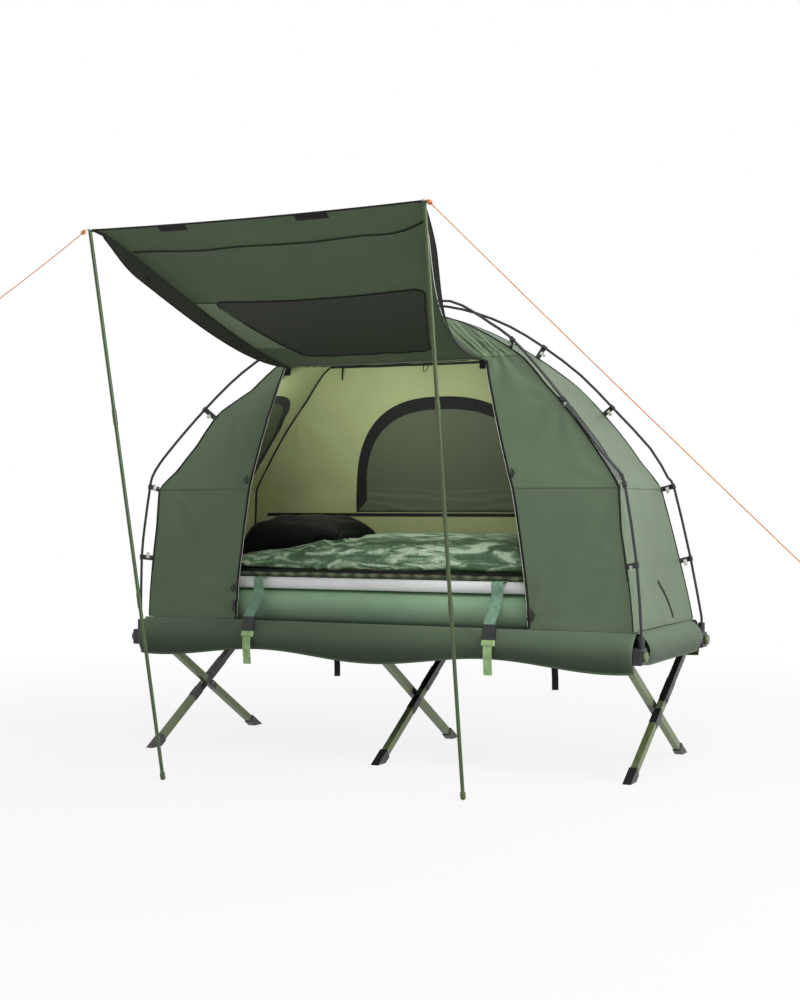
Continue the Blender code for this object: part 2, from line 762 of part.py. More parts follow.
def make_skirts():
    """The cloth band that wraps the rails, below the tent walls."""
    reach = COT_END - SKIRT_CORNER
    across = spaced(-reach, reach, 23)
    drops = [SKIRT_DROP + SKIRT_WAVE * math.cos(2 * math.pi * x / SKIRT_WAVE_LENGTH) for x in across]
    front = skirt_rows(lambda k, out, z: (across[k], -out, z), drops, BASE_HALF_WIDTH, SKIRT_BULGE)
    grid_sheet("skirt_front", front, skirt_cloth())
    back = across[::-1]
    rear = skirt_rows(lambda k, out, z: (back[k], out, z), drops[::-1], BASE_HALF_WIDTH, SKIRT_BULGE)
    grid_sheet("skirt_rear", rear, skirt_cloth())
    end_reach = RAIL_Y - END_SKIRT_CORNER
    for name, side in (("skirt_left", -1), ("skirt_right", 1)):
        ys = spaced(-side * end_reach, side * end_reach, 7)
        rows = skirt_rows(lambda k, out, z: (side * out, ys[k], z), [END_SKIRT_DROP] * len(ys),
                          BASE_HALF_LENGTH, END_SKIRT_BULGE)
        grid_sheet(name, rows, skirt_cloth())


# Cot frame
def make_rails():
    for name, side in (("front_rail", -1), ("rear_rail", 1)):
        cap = RAIL_CAP_LENGTH
        left = [(0, RAIL_CAP_RADIUS - CAP_ROUND), (CAP_ROUND, RAIL_CAP_RADIUS), (cap, RAIL_CAP_RADIUS),
                (cap, RAIL_RADIUS)]
        profile = left + [(COT_LENGTH - along, radius) for along, radius in left[::-1]]
        lathe(name, profile, (-COT_END, side * RAIL_Y, RAIL_Z), (1, 0, 0), olive_tube(), 20)
    bar_end = RAIL_Y - RAIL_RADIUS - RUN
    for name, side in (("left_end_bar", -1), ("right_end_bar", 1)):
        x = side * BRACKET_X
        rod(name, (x, -bar_end, RAIL_Z), (x, bar_end, RAIL_Z), END_BAR_RADIUS, olive_tube(), 16)


def make_deck():
    """The sleeping deck, stretched over both rails."""
    reach = COT_END - DECK_INSET
    edge = RAIL_Y + DECK_OVERHANG
    rows = [[(x, y, DECK_Z + FABRIC) for x in spaced(-reach, reach, 7)] for y in spaced(-edge, edge, 5)]
    grid_sheet("cot_deck", rows, deck_cloth())


def lug_parts(x, side):
    """The lug beside a leg's top, on the rail at side -1 (front) or +1 (rear), for the pair at x."""
    leg_x = x + side * LEG_OFFSET
    near = leg_x + LEG_WIDTH / 2 + SEAT
    inner = side * (LEG_TOP_Y - LUG_REACH)
    outer = side * (RAIL_Y - RAIL_RADIUS - 2 * RUN)
    low = min(inner, outer)
    high = max(inner, outer)
    plate = block("lug_plate", (near, low, LEG_TOP_Z - LUG_REACH),
                  (near + LUG_WALL, high, LEG_TOP_Z + LUG_REACH), None)
    return plate, near


def hinge_pin(x):
    """The pin through a front leg's top, with its head on the far side of the leg."""
    leg_x = x - LEG_OFFSET
    y = -LEG_TOP_Y
    start = leg_x + LEG_WIDTH / 2 + SEAT + LUG_WALL / 2
    end = leg_x - LEG_WIDTH / 2 - SEAT
    shaft = rod("hinge_pin", (start, y, LEG_TOP_Z), (end - PIN_HEAD_LENGTH / 2, y, LEG_TOP_Z),
                PIN_RADIUS, None, 12)
    head = rod("hinge_pin_head", (end, y, LEG_TOP_Z), (end - PIN_HEAD_LENGTH, y, LEG_TOP_Z),
               PIN_HEAD_RADIUS, None, 12)
    return shaft, head


def make_corner_brackets():
    """Moulded corners: a rail bore, an end-bar bore, a pole socket and a leg lug."""
    for end_name, end in (("left", -1), ("right", 1)):
        for side_name, side in (("front", -1), ("rear", 1)):
            make_corner_bracket(f"corner_bracket_{side_name}_{end_name}", end, side)


def make_corner_bracket(name, end, side):
    half = BRACKET_LENGTH / 2
    outer = side * (RAIL_Y + BRACKET_OUTER)
    inner = side * (RAIL_Y - BRACKET_INNER)
    low_z = RAIL_Z - BRACKET_HEIGHT / 2
    high_z = RAIL_Z + BRACKET_HEIGHT / 2
    body = block(name, (BRACKET_X - half, min(outer, inner), low_z),
                 (BRACKET_X + half, max(outer, inner), high_z), black_plastic(), BRACKET_ROUND, 2)
    foot_y = side * POLE_FOOT_Y
    socket = rod("pole_socket", (POLE_FOOT_X, foot_y, RAIL_Z),
                 (POLE_FOOT_X, foot_y, high_z + SOCKET_HEIGHT), SOCKET_RADIUS, None)
    plate, near = lug_parts(LEG_PAIR_X, side)
    arm_y = side * (RAIL_Y - RAIL_RADIUS - 2 * RUN)
    arm_in = side * (RAIL_Y - BRACKET_INNER + LUG_LAP)
    arm = block("lug_arm", (near, min(arm_y, arm_in), LEG_TOP_Z - LUG_REACH),
                (BRACKET_X, max(arm_y, arm_in), LEG_TOP_Z + LUG_REACH), None)
    parts = [socket, plate, arm]
    if side < 0:
        parts += hinge_pin(LEG_PAIR_X)
    rail_bore = rod("rail_bore", (LEG_PAIR_X - LEG_WIDTH, side * RAIL_Y, RAIL_Z),
                    (COT_END + half, side * RAIL_Y, RAIL_Z), RAIL_RADIUS + RUN, None, 20)
    bar_bore = rod("bar_bore", (BRACKET_X, side * RAIL_Y, RAIL_Z),
                   (BRACKET_X, inner - side * half, RAIL_Z), END_BAR_RADIUS + RUN, None)
    pole_bore = rod("pole_bore", (POLE_FOOT_X, foot_y, POLE_FOOT_Z - SEAT),
                    (POLE_FOOT_X, foot_y, high_z + 2 * SOCKET_HEIGHT), POLE_RADIUS + RUN, None)
    tools = parts + [rail_bore, bar_bore, pole_bore]
    if end < 0:
        for thing in [body] + tools:
            mirrored(thing)
    join(body, *parts)
    cut(body, rail_bore, bar_bore, pole_bore)
    smooth(body)


def make_mid_brackets():
    """Clamps on the rails at the middle leg pair."""
    for name, side in (("mid_bracket_front", -1), ("mid_bracket_rear", 1)):
        plate, near = lug_parts(0.0, side)
        middle = near + LUG_WALL / 2
        half = MID_BRACKET_LENGTH / 2
        low = side * RAIL_Y - MID_BRACKET_HALF
        high = side * RAIL_Y + MID_BRACKET_HALF
        top = DECK_Z - SEAT
        clamp = block(name, (middle - half, low, RAIL_Z - MID_BRACKET_HALF), (middle + half, high, top),
                      black_plastic(), CLAMP_ROUND, 1)
        parts = [plate]
        if side < 0:
            parts += hinge_pin(0.0)
        bore = rod("clamp_bore", (middle - 2 * half, side * RAIL_Y, RAIL_Z),
                   (middle + 2 * half, side * RAIL_Y, RAIL_Z), RAIL_RADIUS + RUN, None, 20)
        join(clamp, *parts)
        cut(clamp, bore)
        smooth(clamp)


# Legs
def leg_frame(side):
    """Top pivot, unit direction down the leg, unit normal, and length, in the YZ plane.

    side -1 is a leg that hangs on the front rail and stands at the rear."""
    top = Vector((side * LEG_TOP_Y, LEG_TOP_Z))
    foot = Vector((-side * FOOT_Y, 0.0))
    along = (foot - top).normalized()
    normal = Vector((-along.y, along.x))
    if normal.y < 0:
        normal = -normal
    return top, along, normal, (foot - top).length


def leg_outline(side):
    top, along, normal, length = leg_frame(side)
    half = LEG_DEPTH / 2
    end = length - FOOT_SOLE
    outline = [top + along * end - normal * half, top + along * end + normal * half]
    for step in range(7):
        turn = math.pi * step / 6
        outline.append(top + normal * half * math.cos(turn) - along * half * math.sin(turn))
    return [tuple(p) for p in outline]


def strip_outline(side, start, end, half):
    top, along, normal, _ = leg_frame(side)
    corners = [(start, -half), (end, -half), (end, half), (start, half)]
    return [tuple(top + along * a + normal * b) for a, b in corners]


def make_leg(name, x, side):
    leg = prism(name, leg_outline(side), x - LEG_WIDTH / 2, x + LEG_WIDTH / 2, 0, olive_tube())
    pivot = (x, 0.0, PIVOT_Z)
    if side < 0:
        top = Vector((x, -LEG_TOP_Y, LEG_TOP_Z))
        far = Vector((LEG_WIDTH, 0, 0))
        cut(leg, rod("top_bore", top - far, top + far, PIN_RADIUS + RUN, None, 12))
        cut(leg, rod("pivot_bore", Vector(pivot) - far, Vector(pivot) + far, PIN_RADIUS + RUN, None, 12))
        return put_origin(leg, tuple(top))
    add_sleeves(leg, x, side)
    return put_origin(leg, pivot)


def add_sleeves(leg, x, side):
    """Black sleeves above and below the crossing, and the pin that carries the other leg."""
    length = leg_frame(side)[3]
    middle = length * PIVOT_SHARE
    half_x = LEG_WIDTH / 2 + SLEEVE_WALL
    half = LEG_DEPTH / 2 + SLEEVE_WALL
    spans = [(middle - SLEEVE_GAP - SLEEVE_LENGTH, middle - SLEEVE_GAP),
             (middle + SLEEVE_GAP, middle + SLEEVE_GAP + SLEEVE_LENGTH / 2)]
    for start, end in spans:
        outline = strip_outline(side, start, end, half)
        join(leg, prism("leg_sleeve", outline, x - half_x, x + half_x, 0, None))
    far = x - LEG_WIDTH / 2 - LEG_GAP - LEG_WIDTH - SEAT
    join(leg, rod("pivot_pin", (x, 0.0, PIVOT_Z), (far - PIN_HEAD_LENGTH / 2, 0.0, PIVOT_Z),
                  PIN_RADIUS, None, 12))
    join(leg, rod("pivot_head", (far, 0.0, PIVOT_Z), (far - PIN_HEAD_LENGTH, 0.0, PIVOT_Z),
                  PIN_HEAD_RADIUS, None, 12))


def make_foot(name, x, side):
    """A cap over the leg's end, with its sole flat on the ground."""
    top, along, normal, length = leg_frame(side)
    half = LEG_DEPTH / 2 + FOOT_WALL
    outline = []
    for sign in (-1, 1):
        edge = top + normal * half * sign
        reach = edge.y / -along.y
        ground = edge + along * reach
        upper = edge + along * (length - FOOT_HEIGHT)
        outline += [tuple(ground), tuple(upper)] if sign < 0 else [tuple(upper), tuple(ground)]
    half_x = LEG_WIDTH / 2 + FOOT_WALL
    foot = prism(name, outline, x - half_x, x + half_x, 0, black_plastic())
    floor = length - FOOT_SOLE + SEAT
    pocket = strip_outline(side, length - 2 * FOOT_HEIGHT, floor, LEG_DEPTH / 2 + SEAT)
    inside = LEG_WIDTH / 2 + SEAT
    cut(foot, prism("foot_pocket", pocket, x - inside, x + inside, 0, None))
    return foot


def make_legs():
    for place, x in (("left", -LEG_PAIR_X), ("middle", 0.0), ("right", LEG_PAIR_X)):
        turn = -1 if x < 0 else 1
        for row, side in (("front", -1), ("rear", 1)):
            leg_x = abs(x) + side * LEG_OFFSET
            leg = make_leg(f"{row}_hung_leg_{place}", leg_x, side)
            foot = make_foot(f"foot_of_{row}_hung_leg_{place}", leg_x, side)
            foot_origin = (leg_x, -LEG_TOP_Y, LEG_TOP_Z) if side < 0 else (leg_x, 0.0, PIVOT_Z)
            put_origin(foot, foot_origin)
            if turn < 0:
                turn_to_left(leg)
                turn_to_left(foot)


def turn_to_left(thing):
    """Mirror a leg or foot, and the tools that shape it, to the left end."""
    mirrored(thing)
    thing.location.x = -thing.location.x
    for change in thing.modifiers:
        tool = change.object
        tool.data.transform(Matrix.Scale(-1, 4, Vector((1, 0, 0))))
        point_out(tool)


# Dome poles
def curve_through(knots):
    """The knots with one more point between each two, on a smooth curve through them all."""
    points = []
    for number in range(len(knots) - 1):
        before = knots[max(number - 1, 0)]
        start = knots[number]
        end = knots[number + 1]
        after = knots[min(number + 2, len(knots) - 1)]
        points += [start, (start + end) * 0.5625 - (before + after) * 0.0625]
    return points + [knots[-1]]


def pole_half(end, side, rise):
    """Points from the foot of a pole to the crossing, lifted by the rise at the crossing."""
    knots = []
    for out, up in POLE_CURVES[(end, side)]:
        z = blend_between(POLE_FREE_Z, POLE_TOP_Z, up) + rise * up ** 4
        knots.append(Vector((end * out * POLE_FOOT_X, side * out * POLE_FOOT_Y, z)))
    foot = Vector((end * POLE_FOOT_X, side * POLE_FOOT_Y, POLE_FOOT_Z))
    return [foot] + curve_through(knots)


def add_clips(pole, points, end, side):
    """Hooks round the pole on webbing tabs that reach to the canopy's corner."""
    for z in CLIP_HEIGHTS:
        low, high = [pair for pair in zip(points, points[1:]) if pair[0].z <= z < pair[1].z][0]
        here = low.lerp(high, (z - low.z) / (high.z - low.z))
        along = (high - low).normalized()
        seat = nearest_corner(here, end, side)
        reach = (seat - here).length - CLIP_GAP
        towards = (seat - here).normalized()
        across = towards.cross(along).normalized()
        upward = across.cross(towards)
        half = along * CLIP_HEIGHT / 2
        ring = rod("clip_ring", here - half, here + half, CLIP_RADIUS, None, 8)
        tab = framed_block("clip_tab", here + towards * reach / 2, (towards, upward, across),
                           (reach, CLIP_HEIGHT, WEBBING), None)
        join(pole, ring)
        join(pole, tab)


def nearest_corner(point, end, side):
    """The point of a canopy corner nearest to a point of the pole."""
    heights = spaced(WALL_BASE_Z, CREASE_Z, 4) + spaced(CREASE_Z, DOOR_TOP_Z, 7)[1:]
    heights += roof_heights(DOOR_TOP_Z, roof_top_row(), 6)[1:]
    spots = [Vector((corner_x(end, side, z), side * half_width(z), z)) for z in heights]
    nearest = []
    for low, high in zip(spots, spots[1:]):
        run = high - low
        share = min(max((point - low).dot(run) / run.dot(run), 0.0), 1.0)
        nearest.append(low + run * share)
    return min(nearest, key=lambda spot: (spot - point).length)


def make_dome_poles():
    """Two bent poles from corner to corner; the second passes over the first."""
    for name, end, rise in (("dome_pole_front_left", -1, 0.0),
                            ("dome_pole_front_right", 1, 2 * POLE_RADIUS + POLE_CROSSING)):
        near = pole_half(end, -1, rise)
        far = pole_half(-end, 1, rise)
        pole = tube_along(name, near + far[-2::-1], POLE_RADIUS, dark_tube(), 2)
        pole = make_mesh(pole)
        add_clips(pole, near, end, -1)
        add_clips(pole, far, -end, 1)


def make_mesh(thing):
    """Turn a curve object into a mesh object of the same name."""
    name = thing.name
    graph = bpy.context.evaluated_depsgraph_get()
    mesh = bpy.data.meshes.new_from_object(thing.evaluated_get(graph))
    parent_finish = thing.data.materials[0] if thing.data.materials else None
    old = thing.data
    made = bpy.data.objects.new(name + "_mesh", mesh)
    bpy.context.scene.collection.objects.link(made)
    made.parent = thing.parent
    bpy.data.objects.remove(thing, do_unlink=True)
    bpy.data.curves.remove(old)
    made.name = name
    if not mesh.materials and parent_finish:
        mesh.materials.append(parent_finish)
    return made


# Awning
def awning_z(share):
    """Height along the awning, from its front edge at 0 to the door top at 1."""
    drop = AWNING_FRONT_Z - hinge_point()[1]
    return AWNING_FRONT_Z - drop * (1 - (1 - share) ** AWNING_CURVE)


def hinge_point():
    """Y and Z of the line along the door's top that the awning hangs on."""
    z = DOOR_TOP_Z + CREASE_GAP / 2
    return -half_width(z) - AWNING_HINGE_GAP, z


def awning_y(share):
    return blend_between(AWNING_FRONT_Y, hinge_point()[0], share)


def awning_edges(share):
    """X of both edges. The left one draws in close behind its corner, the right one slowly."""
    left_back = door_left(DOOR_TOP_Z) + AWNING_BACK_INSET
    right_back = door_right(DOOR_TOP_Z) - AWNING_BACK_INSET
    left_cut = AWNING_CUT_LEFT * max(math.sin(math.pi * share ** 0.8), 0.0) ** 0.4
    right_cut = AWNING_CUT_RIGHT * math.sin(math.pi * share ** 1.3)
    left = blend_between(-AWNING_REACH_LEFT, left_back, share) + left_cut
    right = blend_between(AWNING_REACH_RIGHT, right_back, share) - right_cut
    return left, right


def awning_rows(columns, count):
    """Rows from the front edge back, each left to right, seen from above."""
    rows = []
    for share in spaced(0.0, 1.0, count):
        left, right = awning_edges(share)
        middle = (left + right) / 2
        half = (right - left) / 2
        row = []
        for x in spaced(left, right, columns):
            across = (x - middle) / half
            sag = AWNING_FRONT_SAG * (1 - share) + AWNING_CROSS_SAG * math.sin(math.pi * share)
            row.append((x, awning_y(share), awning_z(share) - sag * (1 - across ** 2)))
        rows.append(row)
    return rows


def band_depth(share):
    """How far the side band hangs: little at the front corner, most on the way, none at the door."""
    return AWNING_BAND * math.sin(math.pi / 2 * min(1.0, 6 * share + 0.05)) * (1 - share ** 3)


def make_awning():
    rows = awning_rows(11, 13)
    banded = []
    for number, row in enumerate(rows):
        tuck = band_depth(number / (len(rows) - 1))
        lean = max(AWNING_EDGE, AWNING_BAND_LEAN * tuck)
        left = (row[0][0] - lean, row[0][1], row[0][2] - tuck)
        right = (row[-1][0] + lean, row[-1][1], row[-1][2] - tuck)
        banded.append([left] + row + [right])
    sheet = grid_sheet("awning_sheet", banded, canopy_cloth())
    far_up = AWNING_FRONT_Z + AWNING_BAND
    low = hinge_point()[1] - 4 * AWNING_BAND
    opening = prism("awning_window_opening", awning_window_outline(0.0), low, far_up, 2, None)
    cut(sheet, opening)
    pane = grid_sheet("awning_window", rows, window_mesh())
    shape = awning_window_outline(WINDOW_FIT)
    keep_inside(pane, prism("awning_window_shape", shape, low, far_up, 2, None))
    for side in (-1, 1):
        join(sheet, eyelet_ring(side))
    for side in (-1, 1):
        cut(sheet, eyelet_bore(side))
    hinge = (0.0, *hinge_point())
    put_origin(pane, hinge)
    return put_origin(sheet, hinge)


def awning_window_outline(gap):
    """The dark window in the awning: wide at the front, drawn in at the back, with round corners."""
    def share_at(y):
        return (y - AWNING_FRONT_Y) / (hinge_point()[0] - AWNING_FRONT_Y)

    front_left, front_right = awning_edges(share_at(WINDOW_FRONT_Y))
    rear_left, rear_right = awning_edges(share_at(WINDOW_REAR_Y))
    front = WINDOW_FRONT_Y + gap
    rear = WINDOW_REAR_Y - gap
    corners = (((front_left + WINDOW_MARGINS_LEFT[0] + gap, front), (1, 1), WINDOW_FRONT_CORNER),
               ((front_right - WINDOW_MARGINS_RIGHT[0] - gap, front), (-1, 1), WINDOW_FRONT_CORNER),
               ((rear_right - WINDOW_MARGINS_RIGHT[1] - gap, rear), (-1, -1), WINDOW_REAR_CORNER),
               ((rear_left + WINDOW_MARGINS_LEFT[1] + gap, rear), (1, -1), WINDOW_REAR_CORNER))
    outline = []
    for number, ((x, y), (inward_x, inward_y), radius) in enumerate(corners):
        for step in range(4):
            turn = math.radians(180.0 + 90.0 * number + 30.0 * step)
            outline.append((x + radius * (inward_x + math.cos(turn)),
                            y + radius * (inward_y + math.sin(turn))))
    return outline


def eyelet_centre(side):
    reach = AWNING_REACH_LEFT if side < 0 else AWNING_REACH_RIGHT
    return Vector((side * (reach + EYELET_OFFSET), AWNING_FRONT_Y - EYELET_OFFSET,
                   AWNING_FRONT_Z - FABRIC / 2))


def prop_foot(side):
    x, y = PROP_FOOT_LEFT if side < 0 else PROP_FOOT_RIGHT
    tilt = eyelet_centre(side) - Vector((x, y, 0.0))
    rise = PROP_SPIKE_RADIUS * 2 * math.hypot(tilt.x, tilt.y) / tilt.length
    return Vector((x, y, rise))


def prop_direction(side):
    return (eyelet_centre(side) - prop_foot(side)).normalized()


def eyelet_ring(side):
    centre = eyelet_centre(side)
    along = prop_direction(side)
    half = along * EYELET_HEIGHT / 2
    return rod("eyelet_ring", centre - half, centre + half, EYELET_RADIUS, None, 16)


def eyelet_bore(side):
    centre = eyelet_centre(side)
    along = prop_direction(side)
    half = along * EYELET_RADIUS
    return rod("eyelet_bore", centre - half, centre + half, EYELET_BORE, None, 12)


def make_awning_poles():
    """Poles in three sections with ferrules, a rounded foot and a spike in the awning's eyelet."""
    for name, side in (("awning_pole_left", -1), ("awning_pole_right", 1)):
        foot = prop_foot(side)
        along = prop_direction(side)
        length = (eyelet_centre(side) - foot).length - EYELET_HEIGHT / 2 - SEAT
        profile = [(0.0, PROP_SPIKE_RADIUS * 2), (PROP_FOOT_ROUND, PROP_FOOT_RADIUS),
                   (PROP_FOOT_LENGTH, PROP_FOOT_RADIUS), (PROP_FOOT_LENGTH + PROP_TAPER, PROP_RADIUS)]
        for joint in range(1, PROP_SECTIONS):
            middle = length * joint / PROP_SECTIONS
            half = PROP_FERRULE_LENGTH / 2
            profile += [(middle - half, PROP_RADIUS),
                        (middle - half + PROP_TAPER, PROP_FERRULE_RADIUS),
                        (middle + half - PROP_TAPER, PROP_FERRULE_RADIUS),
                        (middle + half, PROP_RADIUS)]
        spike_end = length + EYELET_HEIGHT + PROP_SPIKE_LENGTH
        profile += [(length, PROP_RADIUS), (length, PROP_SPIKE_RADIUS),
                    (spike_end, PROP_SPIKE_RADIUS * 0.25)]
        lathe(name, profile, foot, along, olive_tube(), 12)


# Guy lines
def guy_start(side, end):
    """The middle of a cord's near end, beside the rim of its eyelet."""
    centre = eyelet_centre(side)
    upright = prop_direction(side)
    away = (Vector(end) - centre).normalized()
    lean = away.dot(upright)
    level = (away - upright * lean).normalized()
    return centre + level * (EYELET_RADIUS + SEAT + GUY_RADIUS * abs(lean))


def make_guy_lines():
    """Taut cords from the rims of the awning's eyelets, out to each side."""
    for name, side, end in (("guy_line_left", -1, GUY_END_LEFT), ("guy_line_right", 1, GUY_END_RIGHT)):
        start = guy_start(side, end)
        points = []
        for share in spaced(0.0, 1.0, GUY_POINTS):
            point = start.lerp(Vector(end), share)
            point.z -= GUY_SAG * 4 * share * (1 - share)
            points.append(tuple(point))
        tube_along(name, points, GUY_RADIUS, guy_cord(), 2)


# Bedding
def cushion_rows(half_x, half_y, low, high, corner):
    """Half sizes and heights of a pad with rolled sides, from the bottom to the top."""
    rings = []
    for share in spaced(0.0, 1.0, 7):
        pull = 1 - math.sqrt(max(0.0, 1 - (2 * share - 1) ** 2))
        inset = corner * pull
        z = blend_between(low, high, share)
        rings.append((half_x - inset, half_y - inset, z))
    return rings


def rounded_ring(half_x, half_y, z, corner, steps=5):
    ring = []
    corner = min(corner, half_x, half_y)
    for quarter, (right, back) in enumerate(((1, 1), (-1, 1), (-1, -1), (1, -1))):
        centre_x = right * (half_x - corner)
        centre_y = back * (half_y - corner)
        for step in range(steps):
            turn = math.pi / 2 * (quarter + step / (steps - 1))
            ring.append((centre_x + corner * math.cos(turn), centre_y + corner * math.sin(turn), z))
    return ring


def stacked_rings(name, rings, finish):
    """A closed solid from rings of equal count, bottom to top."""
    count = len(rings[0])
    points = [point for ring in rings for point in ring]
    faces = [list(range(count - 1, -1, -1))]
    for ring in range(len(rings) - 1):
        low = ring * count
        for step in range(count):
            nxt = (step + 1) % count
            faces.append((low + step, low + nxt, low + count + nxt, low + count + step))
    last = (len(rings) - 1) * count
    faces.append(list(range(last, last + count)))
    return smooth(mesh_object(name, points, faces, finish), 60)


def make_mattress():
    """An air mattress with rolled sides under a pale top layer."""
    low = BED_Z
    high = BED_Z + MATTRESS_HEIGHT
    rings = []
    for half_x, half_y, z in cushion_rows(MATTRESS_HALF_LENGTH, MATTRESS_HALF_WIDTH, low, high,
                                          MATTRESS_ROLL):
        rings.append(rounded_ring(half_x, half_y, z, MATTRESS_CORNER))
    top_x = MATTRESS_HALF_LENGTH - MATTRESS_TOP_INSET
    top_y = MATTRESS_HALF_WIDTH - MATTRESS_TOP_INSET
    for inset, share in ((0.10, 0.10), (0.0, 0.30), (0.0, 0.75), (0.15, 1.0)):
        drawn_in = inset * MATTRESS_TOP_HEIGHT
        rings.append(rounded_ring(top_x - drawn_in, top_y - drawn_in, high + share * MATTRESS_TOP_HEIGHT,
                                  MATTRESS_TOP_CORNER))
    stacked_rings("air_mattress", rings, mattress_skin())


def pad_top(centre, size, counts, pinch, ripple):
    """Points of a soft pad's crowned top, row by row. Its sides are drawn in by the pinch."""
    columns, rows = counts
    points = []
    for v in spaced(-1.0, 1.0, rows):
        for u in spaced(-1.0, 1.0, columns):
            edge = math.sqrt(max(0.0, 1 - abs(u) ** 5) * max(0.0, 1 - abs(v) ** 4))
            x = centre[0] + u * size[0] / 2 * (1 - pinch * (1 - v ** 2) * u ** 6)
            y = centre[1] + v * size[1] / 2 * (1 - pinch * (1 - u ** 2) * v ** 6)
            z = centre[2] + size[2] * (PAD_RIM + (1 - PAD_RIM) * edge) + ripple(u, v) * edge
            points.append((x, y, z))
    return points


def make_pad(name, centre, points, counts, finish):
    """A soft body: its top, closed down to a flat underside."""
    cx, cy, low = centre
    columns, rows = counts
    count = len(points)
    points = points + [(cx + (x - cx) * PAD_FOOT, cy + (y - cy) * PAD_FOOT, low) for x, y, _ in points]
    faces = []
    for j in range(rows - 1):
        for i in range(columns - 1):
            a = j * columns + i
            faces.append((a, a + 1, a + columns + 1, a + columns))
    rim = [i for i in range(columns)]
    rim += [j * columns + columns - 1 for j in range(1, rows)]
    rim += [(rows - 1) * columns + i for i in range(columns - 2, -1, -1)]
    rim += [j * columns for j in range(rows - 2, 0, -1)]
    for k, a in enumerate(rim):
        b = rim[(k + 1) % len(rim)]
        faces.append((a, a + count, b + count, b))
    faces.append([a + count for a in rim][::-1])
    used = sorted({index for face in faces for index in face})
    where = {old: new for new, old in enumerate(used)}
    kept = [points[k] for k in used]
    thing = mesh_object(name, kept, [[where[k] for k in face] for face in faces], finish)
    work = bmesh.new()
    work.from_mesh(thing.data)
    bmesh.ops.triangulate(work, faces=work.faces[:])
    work.to_mesh(thing.data)
    work.free()
    point_out(thing)
    return smooth(thing, 60)


def bag_ripple(u, v):
    quilts = math.cos(math.pi * BAG_QUILTS * (u + 0.15 * v))
    return BAG_QUILT_RISE * quilts + BAG_WANDER * math.sin(5.0 * v + 3.0 * u)


def make_bag():
    """The sleeping bag, quilted across and laid open on the mattress."""
    centre = (BAG_CENTRE_X, 0.0, BAG_Z)
    counts = (BAG_COLUMNS, BAG_ROWS)
    top = pad_top(centre, (BAG_LENGTH, BAG_WIDTH, BAG_HEIGHT), counts, BAG_PINCH, bag_ripple)
    return make_pad("sleeping_bag", centre, top, counts, bag_cloth())


def pillow_ripple(u, v):
    return PILLOW_WANDER * math.sin(7.0 * u + 2.0 * v) * math.cos(4.0 * v)


def pillow_rest(bag):
    """The bag's highest point under the pillow's flat underside."""
    reach_x = PILLOW_LENGTH / 2 * PAD_FOOT
    reach_y = PILLOW_WIDTH / 2 * PAD_FOOT
    high = BAG_Z
    for x in spaced(PILLOW_X - reach_x, PILLOW_X + reach_x, 81):
        for y in spaced(PILLOW_Y - reach_y, PILLOW_Y + reach_y, 61):
            _, spot, _, _ = bag.ray_cast((x, y, CANOPY_TOP_Z), (0, 0, -1))
            high = max(high, spot.z)
    return high


def make_pillow(bag):
    centre = (PILLOW_X, PILLOW_Y, pillow_rest(bag) + SEAT)
    size = (PILLOW_LENGTH, PILLOW_WIDTH, PILLOW_HEIGHT)
    counts = (15, 11)
    top = pad_top(centre, size, counts, PILLOW_PINCH, pillow_ripple)
    make_pad("pillow", centre, top, counts, pillow_cloth())


# Straps and buckles
def buckle_line():
    """Top of the buckle's middle line, in YZ, and its unit direction and outward normal."""
    foot_y = -BASE_HALF_WIDTH - SKIRT_BULGE - BUCKLE_STAND_OFF
    top = Vector((0.0, foot_y + BUCKLE_LEAN, BUCKLE_TOP_Z))
    foot = Vector((0.0, foot_y, BUCKLE_FOOT_Z))
    along = (foot - top).normalized()
    normal = Vector((0.0, along.z, -along.y))
    return top, along, normal


def make_straps():
    """Webbing over the door sill to each buckle's shell."""
    top, along, _ = buckle_line()
    shelf_z = BAG_Z + WEBBING / 2
    front_y = -MATTRESS_HALF_WIDTH - STRAP_CLEARANCE
    back_y = -BAG_WIDTH / 2 - SEAT
    entry = top - along * SEAT
    middle_z = blend_between(BAG_Z, entry.z, STRAP_SHARE)
    path = [Vector((0, back_y, shelf_z)), Vector((0, front_y + STRAP_TURN, shelf_z)),
            Vector((0, front_y, BAG_Z - STRAP_BEND)), Vector((0, front_y - WEBBING, middle_z)),
            entry - along * STRAP_ENTRY, entry]
    for name, x in (("strap_left", STRAP_LEFT_X), ("strap_right", STRAP_RIGHT_X)):
        ribbon(name, path, x, STRAP_WIDTH, WEBBING, strap_cloth())


def ribbon(name, path, x, width, thickness, finish):
    """A flat strip of webbing that follows a path in the YZ plane."""
    left = []
    right = []
    for number, point in enumerate(path):
        before = path[max(number - 1, 0)]
        after = path[min(number + 1, len(path) - 1)]
        run = (after - before).normalized()
        out = Vector((0.0, run.z, -run.y)) * thickness / 2
        left.append((point + out).yz)
        right.append((point - out).yz)
    outline = [tuple(p) for p in left] + [tuple(p) for p in right[::-1]]
    return prism(name, outline, x - width / 2, x + width / 2, 0, finish)


